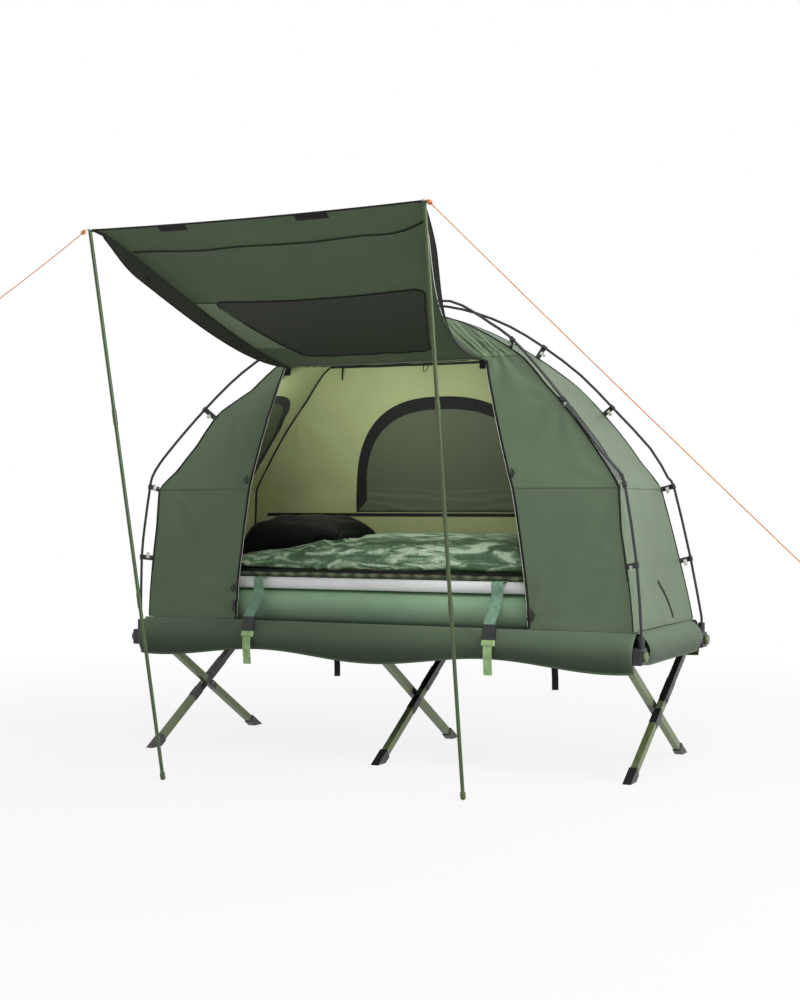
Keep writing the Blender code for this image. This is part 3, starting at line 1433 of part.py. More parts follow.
def make_buckles():
    """Side-release buckles: a shell with an open mouth, and a tongue with two prongs on a tail."""
    top, along, normal = buckle_line()
    across = Vector((1, 0, 0))
    axes = (across, along, normal)
    hollow = BUCKLE_DEPTH - 2 * BUCKLE_WALL
    past = BUCKLE_WALL
    for place, x in (("left", STRAP_LEFT_X), ("right", STRAP_RIGHT_X)):
        base = top + across * x
        shell = framed_block(f"buckle_shell_{place}", base + along * BUCKLE_LENGTH / 2, axes,
                             (BUCKLE_WIDTH, BUCKLE_LENGTH, BUCKLE_DEPTH), black_plastic())
        round_edges(shell, BUCKLE_EDGE, 2)
        mouth_middle = base + along * (BUCKLE_LENGTH + (past - BUCKLE_MOUTH) / 2)
        mouth = framed_block("buckle_mouth", mouth_middle, axes,
                             (BUCKLE_WIDTH - 4 * BUCKLE_WALL, BUCKLE_MOUTH + past, hollow), None)
        window_middle = base + along * (BUCKLE_LENGTH - BUCKLE_MOUTH / 2)
        window = framed_block("buckle_window", window_middle, axes,
                              (BUCKLE_WIDTH * 2, BUCKLE_MOUTH * BUCKLE_WINDOW, hollow), None)
        cut(shell, mouth, window)
        make_tongue(f"buckle_tongue_{place}", base, axes)


def make_tongue(name, base, axes):
    across, along, _ = axes
    end = base + along * BUCKLE_LENGTH
    depth = BUCKLE_DEPTH - 2 * BUCKLE_WALL - 2 * RUN
    reach = BUCKLE_WIDTH - 4 * BUCKLE_WALL - 2 * RUN
    body = framed_block(name, end + along * (TONGUE_BODY / 2 + SEAT), axes,
                        (BUCKLE_WIDTH, TONGUE_BODY, BUCKLE_DEPTH - BUCKLE_WALL), strap_cloth())
    round_edges(body, BUCKLE_EDGE, 1)
    parts = []
    for side in (-1, 0, 1):
        width = PRONG_WIDTH if side else PRONG_WIDTH * 0.7
        middle = end + across * side * (reach - PRONG_WIDTH) / 2 - along * (TONGUE_INSERT - PRONG_ROOT) / 2
        size = (width, TONGUE_INSERT + PRONG_ROOT, depth)
        parts.append(framed_block("tongue_prong", middle, axes, size, None))
    join(body, *parts)
    tail_top = end + along * (TONGUE_BODY / 2)
    tail_path = []
    for share in (0.0, 0.2, 0.45, 1.0):
        sway = TAIL_SWAY * math.sin(math.pi * share ** 0.6)
        tail_path.append(Vector((0, tail_top.y - sway, tail_top.z - TAIL_LENGTH * share)))
    join(body, ribbon("tongue_tail", tail_path, base.x, TAIL_WIDTH, WEBBING, None))
    return put_origin(body, tuple(end))


# Zip sliders
def slider_axes(edge, side):
    """Axes of the zip on the flat front wall: along the door's edge, across it, and outwards."""
    low = Vector((edge(SLIDER_LOW_Z), -half_width(SLIDER_LOW_Z), SLIDER_LOW_Z))
    high = Vector((edge(SLIDER_HIGH_Z), -half_width(SLIDER_HIGH_Z), SLIDER_HIGH_Z))
    along = (high - low).normalized()
    slope = math.atan2(BASE_HALF_WIDTH - CREASE_HALF_WIDTH, CREASE_Z - WALL_BASE_Z)
    out = Vector((0.0, -math.cos(slope), math.sin(slope)))
    across = along.cross(out).normalized() * side
    return low, along, across, out


def make_zip_sliders():
    for name, edge, side in (("zip_slider_left", door_left, -1), ("zip_slider_right", door_right, 1)):
        low, along, across, out = slider_axes(edge, side)
        away = across if across.x * side > 0 else -across
        middle = low + away * SLIDER_EDGE + out * (SEAT + SLIDER_DEPTH / 2)
        body = framed_block(name, middle, (away, along, out), (SLIDER_WIDTH, SLIDER_LENGTH, SLIDER_DEPTH),
                            black_plastic())
        round_edges(body, SLIDER_EDGE_ROUND, 1)
        pull_middle = middle + out * (SLIDER_DEPTH - WEBBING) / 2 - along * PULL_LENGTH / 2
        join(body, framed_block("zip_pull", pull_middle, (away, along, out),
                                (PULL_WIDTH, PULL_LENGTH, WEBBING), None))
        put_origin(body, tuple(middle))


def make_tent():
    clear_scene()
    middle = bpy.data.objects.new("cot_middle", None)
    bpy.context.scene.collection.objects.link(middle)
    make_rails()
    make_deck()
    make_corner_brackets()
    make_mid_brackets()
    make_legs()
    make_skirts()
    make_walls()
    make_roof()
    make_dome_poles()
    make_awning()
    make_awning_poles()
    make_guy_lines()
    make_mattress()
    bag = make_bag()
    make_pillow(bag)
    make_straps()
    make_buckles()
    make_zip_sliders()
    middle.location = (0.0, CENTRE_Y, 0.0)
    bpy.context.view_layer.update()


make_tent()
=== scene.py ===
"""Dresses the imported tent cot: canopy, awning, skirts, bedding, webbing and cords, with their finishes."""
import math

import bmesh
import bpy
from bpy.props import FloatProperty, FloatVectorProperty, PointerProperty
from mathutils import Matrix, Vector, noise


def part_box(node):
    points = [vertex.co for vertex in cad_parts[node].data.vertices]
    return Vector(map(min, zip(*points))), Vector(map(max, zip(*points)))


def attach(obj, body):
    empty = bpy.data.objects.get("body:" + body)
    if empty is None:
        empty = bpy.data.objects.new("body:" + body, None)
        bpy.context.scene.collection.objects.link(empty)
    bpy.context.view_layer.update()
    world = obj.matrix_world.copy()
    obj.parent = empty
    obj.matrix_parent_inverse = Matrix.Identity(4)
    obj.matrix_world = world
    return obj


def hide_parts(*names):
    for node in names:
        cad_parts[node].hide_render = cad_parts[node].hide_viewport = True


bl_info = {
    "name": "Tent cot dressing",
    "version": (1, 0, 0),
    "blender": (4, 5, 0),
    "location": "View3D > Sidebar > Tent cot",
    "description": "Builds the cloth, bedding, webbing and cords of a tent cot round its packed frame",
    "category": "Object",
}

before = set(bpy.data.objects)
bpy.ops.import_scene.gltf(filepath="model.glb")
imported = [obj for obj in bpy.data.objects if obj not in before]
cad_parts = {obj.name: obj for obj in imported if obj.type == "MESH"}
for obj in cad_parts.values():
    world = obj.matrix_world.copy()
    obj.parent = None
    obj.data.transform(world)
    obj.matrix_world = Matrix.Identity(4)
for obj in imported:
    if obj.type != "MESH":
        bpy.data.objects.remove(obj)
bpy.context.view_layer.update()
TENT = "cot_and_tent"
MIDDLE_Y = 0.3815        # the cot's middle line in the frame

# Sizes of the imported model, in metres, measured from the cot's middle
BASE_Z = 0.475
CREASE_Z = 0.935
REAR_CREASE_Z = 0.848
TOP_Z = 1.565
CAP_Z = 1.400            # seam between the rear slope and the roof's cap
BASE_HALF = (0.912, 0.346)
CREASE_HALF = (0.842, 0.3195)
DOOR_TOP_Z = 1.376
DOOR_INSETS = {"left": (0.368, 0.338, -0.003), "right": (0.354, 0.352, 0.108)}
PULLS = {(-1, -1): ((0, 0), (0.47, 0.018), (0.71, 0.026), (1, 0.046), (1.11, 0.014), (1.25, 0.014),
                    (1.44, 0.052), (1.57, 0.020), (1.70, 0.046), (1.80, 0.048), (2, 0)),
         (1, -1): ((0, 0), (0.71, 0), (1, 0.016), (1.17, 0.008), (1.55, 0.010), (1.70, 0.032),
                   (1.80, 0.022), (2, 0)),
         (1, 1): ((0, 0), (0.47, -0.019), (1, -0.036), (1.15, -0.048), (1.40, -0.026), (1.58, -0.005),
                  (2, 0))}
REAR_WINDOW = (0.400, REAR_CREASE_Z + 0.008, 0.422, 2.45)
END_WINDOW = (0.220, CREASE_Z + 0.020, 0.330, 2.45)
FOLD_CENTRES = ((-0.50, -0.345, 0.49, 0.22), (0.57, -0.345, 0.49, 0.16), (-0.90, -0.34, 0.69, 0.10),
                (0.885, -0.33, 0.69, 0.10), (-0.842, -0.32, 0.945, 0.16), (0.842, -0.32, 0.945, 0.16),
                (0.842, 0.32, 0.945, 0.16), (-0.842, 0.32, 0.945, 0.16), (0.62, -0.23, 1.225, 0.16),
                (-0.62, -0.23, 1.225, 0.16), (0.62, 0.23, 1.225, 0.16), (-0.62, 0.23, 1.225, 0.16),
                (0.36, -0.14, 1.42, 0.20), (0.36, 0.14, 1.42, 0.20), (-0.36, -0.14, 1.42, 0.20))
CORNERS = ((-1, -1), (-1, 1), (1, -1), (1, 1))
CLIP_HEIGHTS = (0.690, 0.945, 1.225, 1.440)
CLOTH = 0.0015
AWNING_FRONT = (-1.150, 1.733)
AWNING_REACH = {-1: 0.575, 1: 0.555}
AWNING_HINGE = (-0.167687, 1.3766)
AWNING_PANE = (-0.768, -0.340)         # front and back edge of the awning's window
AWNING_CUT = (1.20, 1.80)              # heights between which that window is cut
SHELL_LAST_Z = 1.5622                  # the shell's last level row, just under its top
DOOR_COLUMNS = range(26, 81)           # columns of the shell's mesh that the door takes
SKIRT_REACH = {"front": 0.925, "rear": 0.925, "left": 0.314, "right": 0.314}
DECK_HALF = (0.900, 0.376)
DECK_Z = 0.4188
SIDES = (("left", -1), ("right", 1))
CROSSING = (0.0, MIDDLE_Y, 0.2014)     # the bolt where a pair of legs cross
FRONT_HUNG = (0.0, 0.8604, -0.5097)    # a leg's direction from its top to its foot
REAR_HUNG = (0.0, -0.8604, -0.5097)
PILLOW_X = -0.460
PILLOW_Y = 0.030
PILLOW_SIZE = (0.396, 0.296, 0.108)
BAG_X = -0.020


# Small helpers
def unit(value):
    return min(max(value, 0.0), 1.0)


def spread(start, end, count):
    return [start + (end - start) * k / (count - 1) for k in range(count)]


def rounded(turn, power):
    """A point of a rounded box outline at a turn, each way from -1 to 1."""
    return [math.copysign(abs(v) ** power, v) for v in (math.cos(turn), math.sin(turn))]


def to_frame(point):
    return Vector((point[0], point[1] + MIDDLE_Y, point[2]))


# Form of the canopy
def roof_share(z):
    return (1 - unit((z - CREASE_Z) / (TOP_Z - CREASE_Z)) ** 1.17) ** 0.6


def half_size(z, way):
    """Half the canopy's length (way 0) or width (way 1) at a height."""
    if z > CREASE_Z:
        return CREASE_HALF[way] * roof_share(z)
    share = max((z - BASE_Z) / (CREASE_Z - BASE_Z), 0.0)
    return BASE_HALF[way] + (CREASE_HALF[way] - BASE_HALF[way]) * share ** (1.0 if way else 1.3)


def corner_x(end, side, z):
    """X of a corner of the canopy, pulled out by its clips. side is -1 at the front."""
    level = (z - BASE_Z) / (CREASE_Z - BASE_Z) if z <= CREASE_Z else 1 + (z - CREASE_Z) / (TOP_Z - CREASE_Z)
    pulls = PULLS.get((end, side), PULLS[(1, -1)])
    pull = 0.0
    for (low, start), (high, stop) in zip(pulls, pulls[1:]):
        if low <= level <= high:
            pull = start + (stop - start) * (level - low) / (high - low)
    return end * (half_size(z, 0) + pull)


def door_x(z, side):
    """Where the door's edge stands at a height, on the side "left" or "right"."""
    base, crease, top = DOOR_INSETS[side]
    sign = -1 if side == "left" else 1
    if z <= CREASE_Z:
        return sign * (half_size(z, 0) - base - (crease - base) * (z - BASE_Z) / (CREASE_Z - BASE_Z))
    near = CREASE_HALF[0] - crease
    far = half_size(DOOR_TOP_Z, 0) - top
    if z > DOOR_TOP_Z:
        return sign * far * half_size(z, 0) / half_size(DOOR_TOP_Z, 0)
    return sign * (near + (far - near) * (z - CREASE_Z) / (DOOR_TOP_Z - CREASE_Z))


def wrinkle(spot):
    """Small rise and fall of pitched cloth: slow waves, and folds that fan out from the clips."""
    rise = 0.0016 * noise.noise(spot * 5.0) + 0.0007 * noise.noise(spot * 17.0)
    for x, y, z, reach in FOLD_CENTRES:
        away = spot - Vector((x, y, z))
        near = math.exp(-(away.length / reach) ** 2)
        if near > 0.02:
            turn = math.atan2(away.z, away.x + away.y)
            rise += 0.0024 * near * math.sin(9.0 * turn + 4.0 * x) * min(1.0, away.length / 0.05)
    gather = math.exp(-((spot.x - 0.30) ** 2 + (spot.z - 1.46) ** 2) / 0.011) if spot.y < 0 else 0.0
    if gather > 0.02:
        rise += 0.0034 * gather * math.sin(2 * math.pi * (0.65 * spot.x + 0.76 * spot.z) / 0.034)
    if spot.z > 1.30:
        crush = min(1.0, (spot.z - 1.30) / 0.08)
        rise += 0.0030 * crush * noise.noise(Vector((spot.x * 14, spot.y * 9, spot.z * 30)))
    return rise


def canopy_at(side, along, z, lift=0.0):
    """A point of the pitched cloth. along is x on the long sides and y on the ends."""
    way = 1 if side in ("front", "rear") else 0
    slope = (half_size(z + 0.001, way) - half_size(z - 0.001, way)) / 0.002 if z < TOP_Z - 0.002 else -9
    sign = -1 if side in ("front", "left") else 1
    if way:
        spot = Vector((along, sign * half_size(z, 1), z))
        out = Vector((0, sign, -slope)).normalized()
    else:
        share = unit((along / max(half_size(z, 1), 0.001) + 1) / 2)
        x = corner_x(sign, -1, z) * (1 - share) + corner_x(sign, 1, z) * share
        spot = Vector((x, along, z))
        out = Vector((sign, 0, -slope)).normalized()
    middle = max(0.0, 1 - (along / max(half_size(z, 1 - way), 0.001)) ** 2)
    sag = bpy.context.scene.tent_canopy.sag * middle * (0.4 if side == "front" else 1.0)
    return spot + out * (wrinkle(spot) * min(1.0, middle * 8) - sag + lift)


# Mesh tools
def pick(thing):
    bpy.ops.object.select_all(action="DESELECT")
    thing.select_set(True)
    bpy.context.view_layer.objects.active = thing


def added(add, **settings):
    """Add a primitive with nothing selected, and return it."""
    bpy.ops.object.select_all(action="DESELECT")
    add(**settings)
    return bpy.context.view_layer.objects.active


def new_piece(name, points, faces, finishes, marks=None):
    """A mesh piece from points measured from the cot's middle, with its finishes' names."""
    mesh = bpy.data.meshes.new(name)
    mesh.from_pydata([tuple(to_frame(p)) for p in points], [], faces)
    mesh.validate()
    for key in finishes.split():
        mesh.materials.append(FINISHES[key])
    if marks:
        mesh.polygons.foreach_set("material_index", marks)
    thing = bpy.data.objects.new(name, mesh)
    bpy.context.scene.collection.objects.link(thing)
    mesh.shade_smooth()
    return thing


def sheet_faces(rows, columns, closed=False):
    faces = []
    for row in range(rows - 1):
        for column in range(columns if closed else columns - 1):
            a = row * columns + column
            b = row * columns + (column + 1) % columns
            faces.append((a, b, b + columns, a + columns))
    return faces


def grid_piece(name, rows, finishes, closed=False):
    faces = sheet_faces(len(rows), len(rows[0]), closed)
    return new_piece(name, [p for row in rows for p in row], faces, finishes)


def swept_piece(name, sections, finishes, closed=False, marks=None):
    """A solid from a row of equal sections, its ends filled unless it runs round."""
    sides, last = len(sections[0]), len(sections[0]) * (len(sections) - 1)
    faces = sheet_faces(len(sections), sides, True)
    if closed:
        faces += [(last + k, last + (k + 1) % sides, (k + 1) % sides, k) for k in range(sides)]
    else:
        faces += [tuple(range(sides - 1, -1, -1)), tuple(range(last, last + sides))]
    return new_piece(name, [p for section in sections for p in section], faces, finishes, marks)


def modify(thing, kind, **settings):
    """Add a modifier to a piece and apply it."""
    change = thing.modifiers.new(kind.lower(), kind)
    for key, value in settings.items():
        setattr(change, key, value)
    pick(thing)
    bpy.ops.object.modifier_apply(modifier=change.name)


def thicken(thing, thickness, offset=-1.0, inside=0):
    modify(thing, "SOLIDIFY", thickness=thickness, offset=offset, use_even_offset=True,
           material_offset=inside)


def soften(thing, degrees=40):
    pick(thing)
    bpy.ops.object.shade_smooth_by_angle(angle=math.radians(degrees))


def turn_out(thing, way=None, merge=0.0):
    """Point a piece's faces outwards, or all one way. Points nearer than merge are joined first."""
    work = bmesh.new()
    work.from_mesh(thing.data)
    if merge:
        bmesh.ops.remove_doubles(work, verts=work.verts, dist=merge)
        bmesh.ops.delete(work, geom=[v for v in work.verts if not v.link_faces], context="VERTS")
    if way:
        work.normal_update()
        for face in work.faces:
            if face.normal.dot(Vector(way)) < 0:
                face.normal_flip()
    else:
        bmesh.ops.recalc_face_normals(work, faces=work.faces)
    work.to_mesh(thing.data)
    work.free()


def settle(thing, nodes="", body=TENT):
    """Hand a finished piece to its body and the nodes it stands for."""
    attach(thing, body)
    if nodes:
        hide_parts(*nodes.split())
    return thing


def cloth_piece(name, rows, finishes, thickness=CLOTH):
    thing = grid_piece(name, rows, finishes)
    thicken(thing, thickness)
    return thing


def runs_of(path, closed=False):
    """The direction of a path at each of its points."""
    ahead = path[1:] + [path[0] if closed else path[-1]]
    behind = [path[-1] if closed else path[0]] + path[:-1]
    return [(after - before).normalized() for after, before in zip(ahead, behind)]


def tube_piece(name, path, radius, finishes, sides=8, flat=1.0, closed=False):
    """A round or flattened tube along a path, its ends closed."""
    sections = []
    side = None
    for spot, run in zip(path, runs_of(path, closed)):
        side = run.orthogonal().normalized() if side is None else (side - run * side.dot(run)).normalized()
        other = run.cross(side) * flat
        turns = [2 * math.pi * step / sides for step in range(sides)]
        sections.append([spot + (side * math.cos(turn) + other * math.sin(turn)) * radius for turn in turns])
    return swept_piece(name, sections, finishes, closed)


def tape_piece(name, path, outs, width, thickness, finishes):
    """A flat tape along a path. outs point away from the cloth that it lies on."""
    sections = []
    for spot, run, out in zip(path, runs_of(path), outs):
        out = (out - run * out.dot(run)).normalized() * thickness
        edge = run.cross(out.normalized()) * width / 2
        sections.append([spot - edge, spot + edge, spot + edge + out, spot - edge + out])
    thing = swept_piece(name, sections, finishes)
    turn_out(thing)
    soften(thing, 50)
    return thing


def join_pieces(name, things):
    pick(things[0])
    for thing in things:
        thing.select_set(True)
    bpy.ops.object.join()
    things[0].name = things[0].data.name = name
    return things[0]


def moulded_block(name, centre, size, finish, round_by=0.0018, axes=None):
    """A small moulded or folded part: a cube with rounded edges, turned onto its axes."""
    thing = added(bpy.ops.mesh.primitive_cube_add, size=1.0, location=(0, 0, 0))
    thing.name = name
    thing.scale = size
    bpy.ops.object.transform_apply(location=False, rotation=False, scale=True)
    bpy.ops.object.mode_set(mode="EDIT")
    bpy.ops.mesh.select_all(action="SELECT")
    bpy.ops.mesh.bevel(offset=round_by, segments=2, affect="EDGES")
    bpy.ops.object.mode_set(mode="OBJECT")
    turn = Matrix([a.normalized() for a in axes]).transposed().to_4x4() if axes else Matrix.Identity(4)
    thing.data.transform(Matrix.Translation(to_frame(centre)) @ turn)
    if turn.determinant() < 0:
        thing.data.flip_normals()
    thing.data.materials.append(FINISHES[finish])
    soften(thing)
    return thing


def arch(window, grow=0.0, count=49):
    """A window outline with upright sides and a rounded top, from right to left."""
    half, low, height, power = window
    shares = [rounded(turn, 2 / power) for turn in spread(0.0, math.pi, count)]
    return [((half + grow) * a, low - grow + (height + 2 * grow) * abs(b)) for a, b in shares]


def cut_through(thing, outline, start, end, axis, operation="DIFFERENCE"):
    """Cut an outline out of a piece, or all but the outline, all the way along one axis."""
    sections = [[(a, b)[:axis] + (along,) + (a, b)[axis:] for a, b in outline] for along in (start, end)]
    tool = swept_piece("window_cutter", sections, "")
    turn_out(tool)
    modify(thing, "BOOLEAN", operation=operation, object=tool, solver="EXACT")
    bpy.data.objects.remove(tool, do_unlink=True)


# Finishes
FINISHES = {}


def linear(red, green, blue):
    """A colour as it looks on a screen, 0 to 255, as the shader wants it."""
    return tuple(((c / 255 + 0.055) / 1.055) ** 2.4 if c > 10 else c / 255 / 12.92
                 for c in (red, green, blue))


def shade(colour, factor):
    return tuple(min(1.0, c * factor) for c in colour)


def wire(shader, inputs):
    """Set a shader node's inputs, or link those that are given another node's output."""
    for key, value in inputs.items():
        if isinstance(value, bpy.types.NodeSocket):
            shader.id_data.links.new(value, shader.inputs[key])
        else:
            shader.inputs[key].default_value = value


def node(tree, kind, inputs, output=0, **settings):
    """Add a shader node with its settings and inputs, and return one of its outputs."""
    made = tree.nodes.new("ShaderNode" + kind)
    for key, value in settings.items():
        setattr(made, key, value)
    wire(made, inputs)
    return made.outputs[output]


def finish_base(name, colour, roughness, metallic=0.0):
    made = bpy.data.materials.new(name)
    made.use_nodes = True
    shader = made.node_tree.nodes["Principled BSDF"]
    wire(shader, {"Base Color": (*colour, 1.0), "Roughness": roughness, "Metallic": metallic})
    return made, made.node_tree, shader


def place(tree, scale=(1, 1, 1), turn=0.0):
    """Object coordinates through a Mapping node."""
    spot = node(tree, "TexCoord", {}, "Object")
    return node(tree, "Mapping", {"Vector": spot, "Scale": scale, "Rotation": (0.0, 0.0, turn)})


def speckle(tree, vector, scale, detail=3.0, rough=0.5, warp=0.0):
    return node(tree, "TexNoise", {"Vector": vector, "Scale": scale, "Detail": detail, "Roughness": rough,
                                   "Distortion": warp}, "Fac")


def bands(tree, axis, scale, warp, detail):
    inputs = {"Vector": place(tree), "Scale": scale, "Distortion": warp, "Detail": detail}
    return node(tree, "TexWave", inputs, "Fac", bands_direction=axis)


def maths(tree, operation, first, second):
    return node(tree, "Math", {0: first, 1: second}, operation=operation)


def ramp(tree, value, stops):
    colours = node(tree, "ValToRGB", {"Fac": value})
    elements = colours.node.color_ramp.elements
    while len(elements) < len(stops):
        elements.new(1.0)
    for element, (spot, colour) in zip(elements, stops):
        element.position = spot
        element.color = (*colour, 1.0)
    return colours


def shades(tree, value, colour, stops):
    """A ramp between shades of one colour."""
    return ramp(tree, value, [(spot, shade(colour, factor)) for spot, factor in stops])


def bump(tree, height, distance, strength=1.0):
    return node(tree, "Bump", {"Height": height, "Distance": distance, "Strength": strength})


def weave_height(tree, pitch):
    """Crossed threads: three sets of bands, so that one always crosses the surface."""
    first, second, third = (bands(tree, axis, 0.314 / pitch, 0.3, 2.0) for axis in "XYZ")
    return maths(tree, "ADD", maths(tree, "ADD", first, second), third)


def cloth_finish(name, colour, roughness=0.5, sheen=0.08, pitch=0.0016):
    """Coated polyester: a fine weave, small crinkles and slow changes of tone."""
    made, tree, shader = finish_base(name, colour, roughness)
    where = place(tree)
    height = maths(tree, "ADD", maths(tree, "MULTIPLY", speckle(tree, where, 22.0, 5.0, 0.55), 0.6),
                   maths(tree, "MULTIPLY", weave_height(tree, pitch), 0.02))
    patches = speckle(tree, where, 2.6, 4.0, 0.6)
    wire(shader, {"Base Color": shades(tree, patches, colour, [(0.3, 0.9), (0.7, 1.1)]),
                  "Normal": bump(tree, height, 0.001), "Specular IOR Level": 0.20,
                  "Sheen Weight": sheen, "Sheen Roughness": 0.4})
    return made


def painted_shade_by_height(made, low, high, stops):
    """Paint shade into a cloth's colour along its height: darker low down, where it rolls under and gets less
    light.
    """
    tree = made.node_tree
    shader = tree.nodes["Principled BSDF"]
    level = node(tree, "SeparateXYZ", {"Vector": place(tree)}, "Z")
    level = node(tree, "MapRange", {"Value": level, "From Min": low, "From Max": high})
    tones = shader.inputs["Base Color"].links[0].from_socket
    # painted shade: a ramp of greys over the height, multiplied into the cloth's colour
    painted_shade_tones = ramp(tree, level, [(spot, (value,) * 3) for spot, value in stops])
    wire(shader, {"Base Color": node(tree, "Mix", {0: 1.0, 6: tones, 7: painted_shade_tones}, 2, data_type="RGBA",
                                     blend_type="MULTIPLY")})
    return made


def coated_metal(name, colour, roughness=0.38, metallic=0.35):
    """Powder-coated tube: fine orange peel, and paler rubbed patches."""
    made, tree, shader = finish_base(name, colour, roughness, metallic)
    where = place(tree)
    tone = speckle(tree, where, 34.0, 5.0, 0.65)
    wire(shader, {"Base Color": shades(tree, tone, colour, [(0.35, 0.82), (0.62, 1.0), (0.78, 1.25)]),
                  "Roughness": shades(tree, tone, (roughness,) * 3, [(0.3, 0.8), (0.8, 1.4)]),
                  "Normal": bump(tree, speckle(tree, where, 420.0, 2.0), 0.0002, 0.5)})
    return made


def sleeved_leg(name, direction, spans):
    """Coated tube drawn dark along stretches measured from its crossing bolt: sleeves, and on the rear leg a
    long dark stretch above the bolt.
    """
    made = coated_metal(name, linear(112, 126, 84))
    tree = made.node_tree
    shader = tree.nodes["Principled BSDF"]
    along = node(tree, "VectorMath", {0: place(tree), 1: direction}, "Value", operation="DOT_PRODUCT")
    along = maths(tree, "SUBTRACT", along, Vector(CROSSING).dot(Vector(direction)))
    mask = 0.0
    for low, high in spans:
        inside = maths(tree, "MULTIPLY", maths(tree, "GREATER_THAN", along, low),
                       maths(tree, "LESS_THAN", along, high))
        mask = maths(tree, "MAXIMUM", mask, inside)
    tones = shader.inputs["Base Color"].links[0].from_socket
    wire(shader, {"Base Color": node(tree, "Mix", {0: mask, 6: tones, 7: (*linear(30, 33, 30), 1.0)}, 2,
                                     data_type="RGBA")})
    return made


def moulded_plastic(name, colour, roughness=0.42):
    made, tree, shader = finish_base(name, colour, roughness)
    where = place(tree)
    patches = speckle(tree, where, 18.0, 4.0)
    wire(shader, {"Base Color": shades(tree, patches, colour, [(0.3, 0.8), (0.75, 1.5)]),
                  "Normal": bump(tree, speckle(tree, where, 600.0, 2.0), 0.0002, 0.6)})
    return made


def net_finish(name, colour, thread):
    """Fine netting, drawn as pale threads over a dark ground."""
    made, tree, shader = finish_base(name, linear(*colour), 0.75)
    cells = node(tree, "TexVoronoi", {"Vector": place(tree), "Scale": 520.0, "Randomness": 0.15}, "Distance",
                 feature="DISTANCE_TO_EDGE")
    wire(shader, {"Base Color": ramp(tree, cells, [(0.10, linear(*thread)), (0.30, linear(*colour))]),
                  "Normal": bump(tree, cells, 0.0003, -0.6)})
    return made


def webbing_finish(name, colour, roughness=0.65):
    """Woven tape: a coarse crossed weave, a little mottled."""
    made, tree, shader = finish_base(name, colour, roughness)
    tone = speckle(tree, place(tree), 60.0, 4.0)
    wire(shader, {"Base Color": shades(tree, tone, colour, [(0.3, 0.8), (0.7, 1.2)]),
                  "Normal": bump(tree, weave_height(tree, 0.0024), 0.0003, 0.8),
                  "Sheen Weight": 0.06, "Specular IOR Level": 0.2})
    return made


def satin_pattern(name):
    """Shiny quilt cloth with streaked blots in five greens, crushed into fine wrinkles."""
    made, tree, shader = finish_base(name, linear(70, 105, 70), 0.34)
    blots = speckle(tree, place(tree, (1.0, 3.4, 5.0), 0.22), 6.2, 5.0, 0.58, 1.3)
    colours = ramp(tree, blots, [(0.0, linear(52, 88, 54)), (0.445, linear(64, 102, 64)),
                                 (0.49, linear(98, 134, 95)), (0.535, linear(150, 180, 142)),
                                 (0.59, linear(204, 224, 190))])
    coarse = speckle(tree, place(tree, (1.0, 2.6, 1.0)), 26.0, 6.0, 0.62)
    fine = speckle(tree, place(tree, (2.6, 1.0, 1.0)), 70.0, 4.0, 0.55)
    height = maths(tree, "ADD", coarse, maths(tree, "MULTIPLY", fine, 0.35))
    wire(shader, {"Base Color": colours, "Normal": bump(tree, height, 0.012, 0.8), "Sheen Weight": 0.15})
    return made


def lining_pattern(name):
    """Brushed lining with crossed bands in dull tones."""
    made, tree, shader = finish_base(name, linear(120, 110, 90), 0.9)
    total = maths(tree, "ADD", bands(tree, "X", 5.5, 3.0, 3.0), bands(tree, "Z", 14.0, 3.0, 3.0))
    colours = ramp(tree, maths(tree, "MULTIPLY", total, 0.5),
                   [(0.15, linear(56, 70, 52)), (0.55, linear(86, 96, 72)), (0.85, linear(126, 138, 108))])
    wire(shader, {"Base Color": colours, "Normal": bump(tree, weave_height(tree, 0.003), 0.0004, 0.7)})
    return made


# Settings
def colour_setting(name, description, *colour):
    return FloatVectorProperty(name=name, description=description, default=linear(*colour),
                               subtype="COLOR", size=3, min=0.0, max=1.0)


def length_setting(name, description, default):
    return FloatProperty(name=name, description=description, default=default, min=0.0, unit="LENGTH")


def power_setting(name, description, default):
    return FloatProperty(name=name, description=description, default=default, unit="POWER")


class CanopySettings(bpy.types.PropertyGroup):
    sag: length_setting("Sag", "How far the panels sink between the poles", 0.007)
    outside: colour_setting("Outside", "Coated face of the canopy", 98, 115, 90)
    # painted light: the inner face is paler than the outside, standing in for light that comes through the
    # cloth
    inside: colour_setting("Inside", "Pale inner face of the canopy", 138, 147, 103)
    binding: colour_setting("Binding", "Tapes, piping and zips", 16, 19, 16)
    band: length_setting("Window band", "Width of the dark band round the rear window", 0.040)


class AwningSettings(bpy.types.PropertyGroup):
    underside: colour_setting("Underside", "Face of the awning that looks down", 86, 102, 76)
    side_band: colour_setting("Side band", "Folded bands along the awning's sides", 50, 55, 45)
    hem_inset: length_setting("Hem inset", "Front edge to the hem seam", 0.120)


class SkirtSettings(bpy.types.PropertyGroup):
    cloth: colour_setting("Cloth", "Band of cloth that wraps the rails", 94, 112, 88)
    wave: length_setting("Wave", "Rise and fall of the lower edge", 0.017)


class BeddingSettings(bpy.types.PropertyGroup):
    chamber: colour_setting("Air chamber", "Coated skin of the air mattress", 142, 174, 140)
    top_layer: colour_setting("Top layer", "Pale flocked top of the mattress", 248, 249, 245)
    pillow: colour_setting("Pillow", "Dark cover of the pillow", 12, 15, 10)
    crush: length_setting("Crush", "Height of the sleeping bag's wrinkles", 0.006)


class StrapSettings(bpy.types.PropertyGroup):
    webbing: colour_setting("Webbing", "Straps over the mattress", 120, 154, 130)
    tail: colour_setting("Tail", "Loose strap ends below the buckles", 164, 194, 136)
    guy_line: colour_setting("Guy line", "Cord of the guy lines", 228, 146, 84)


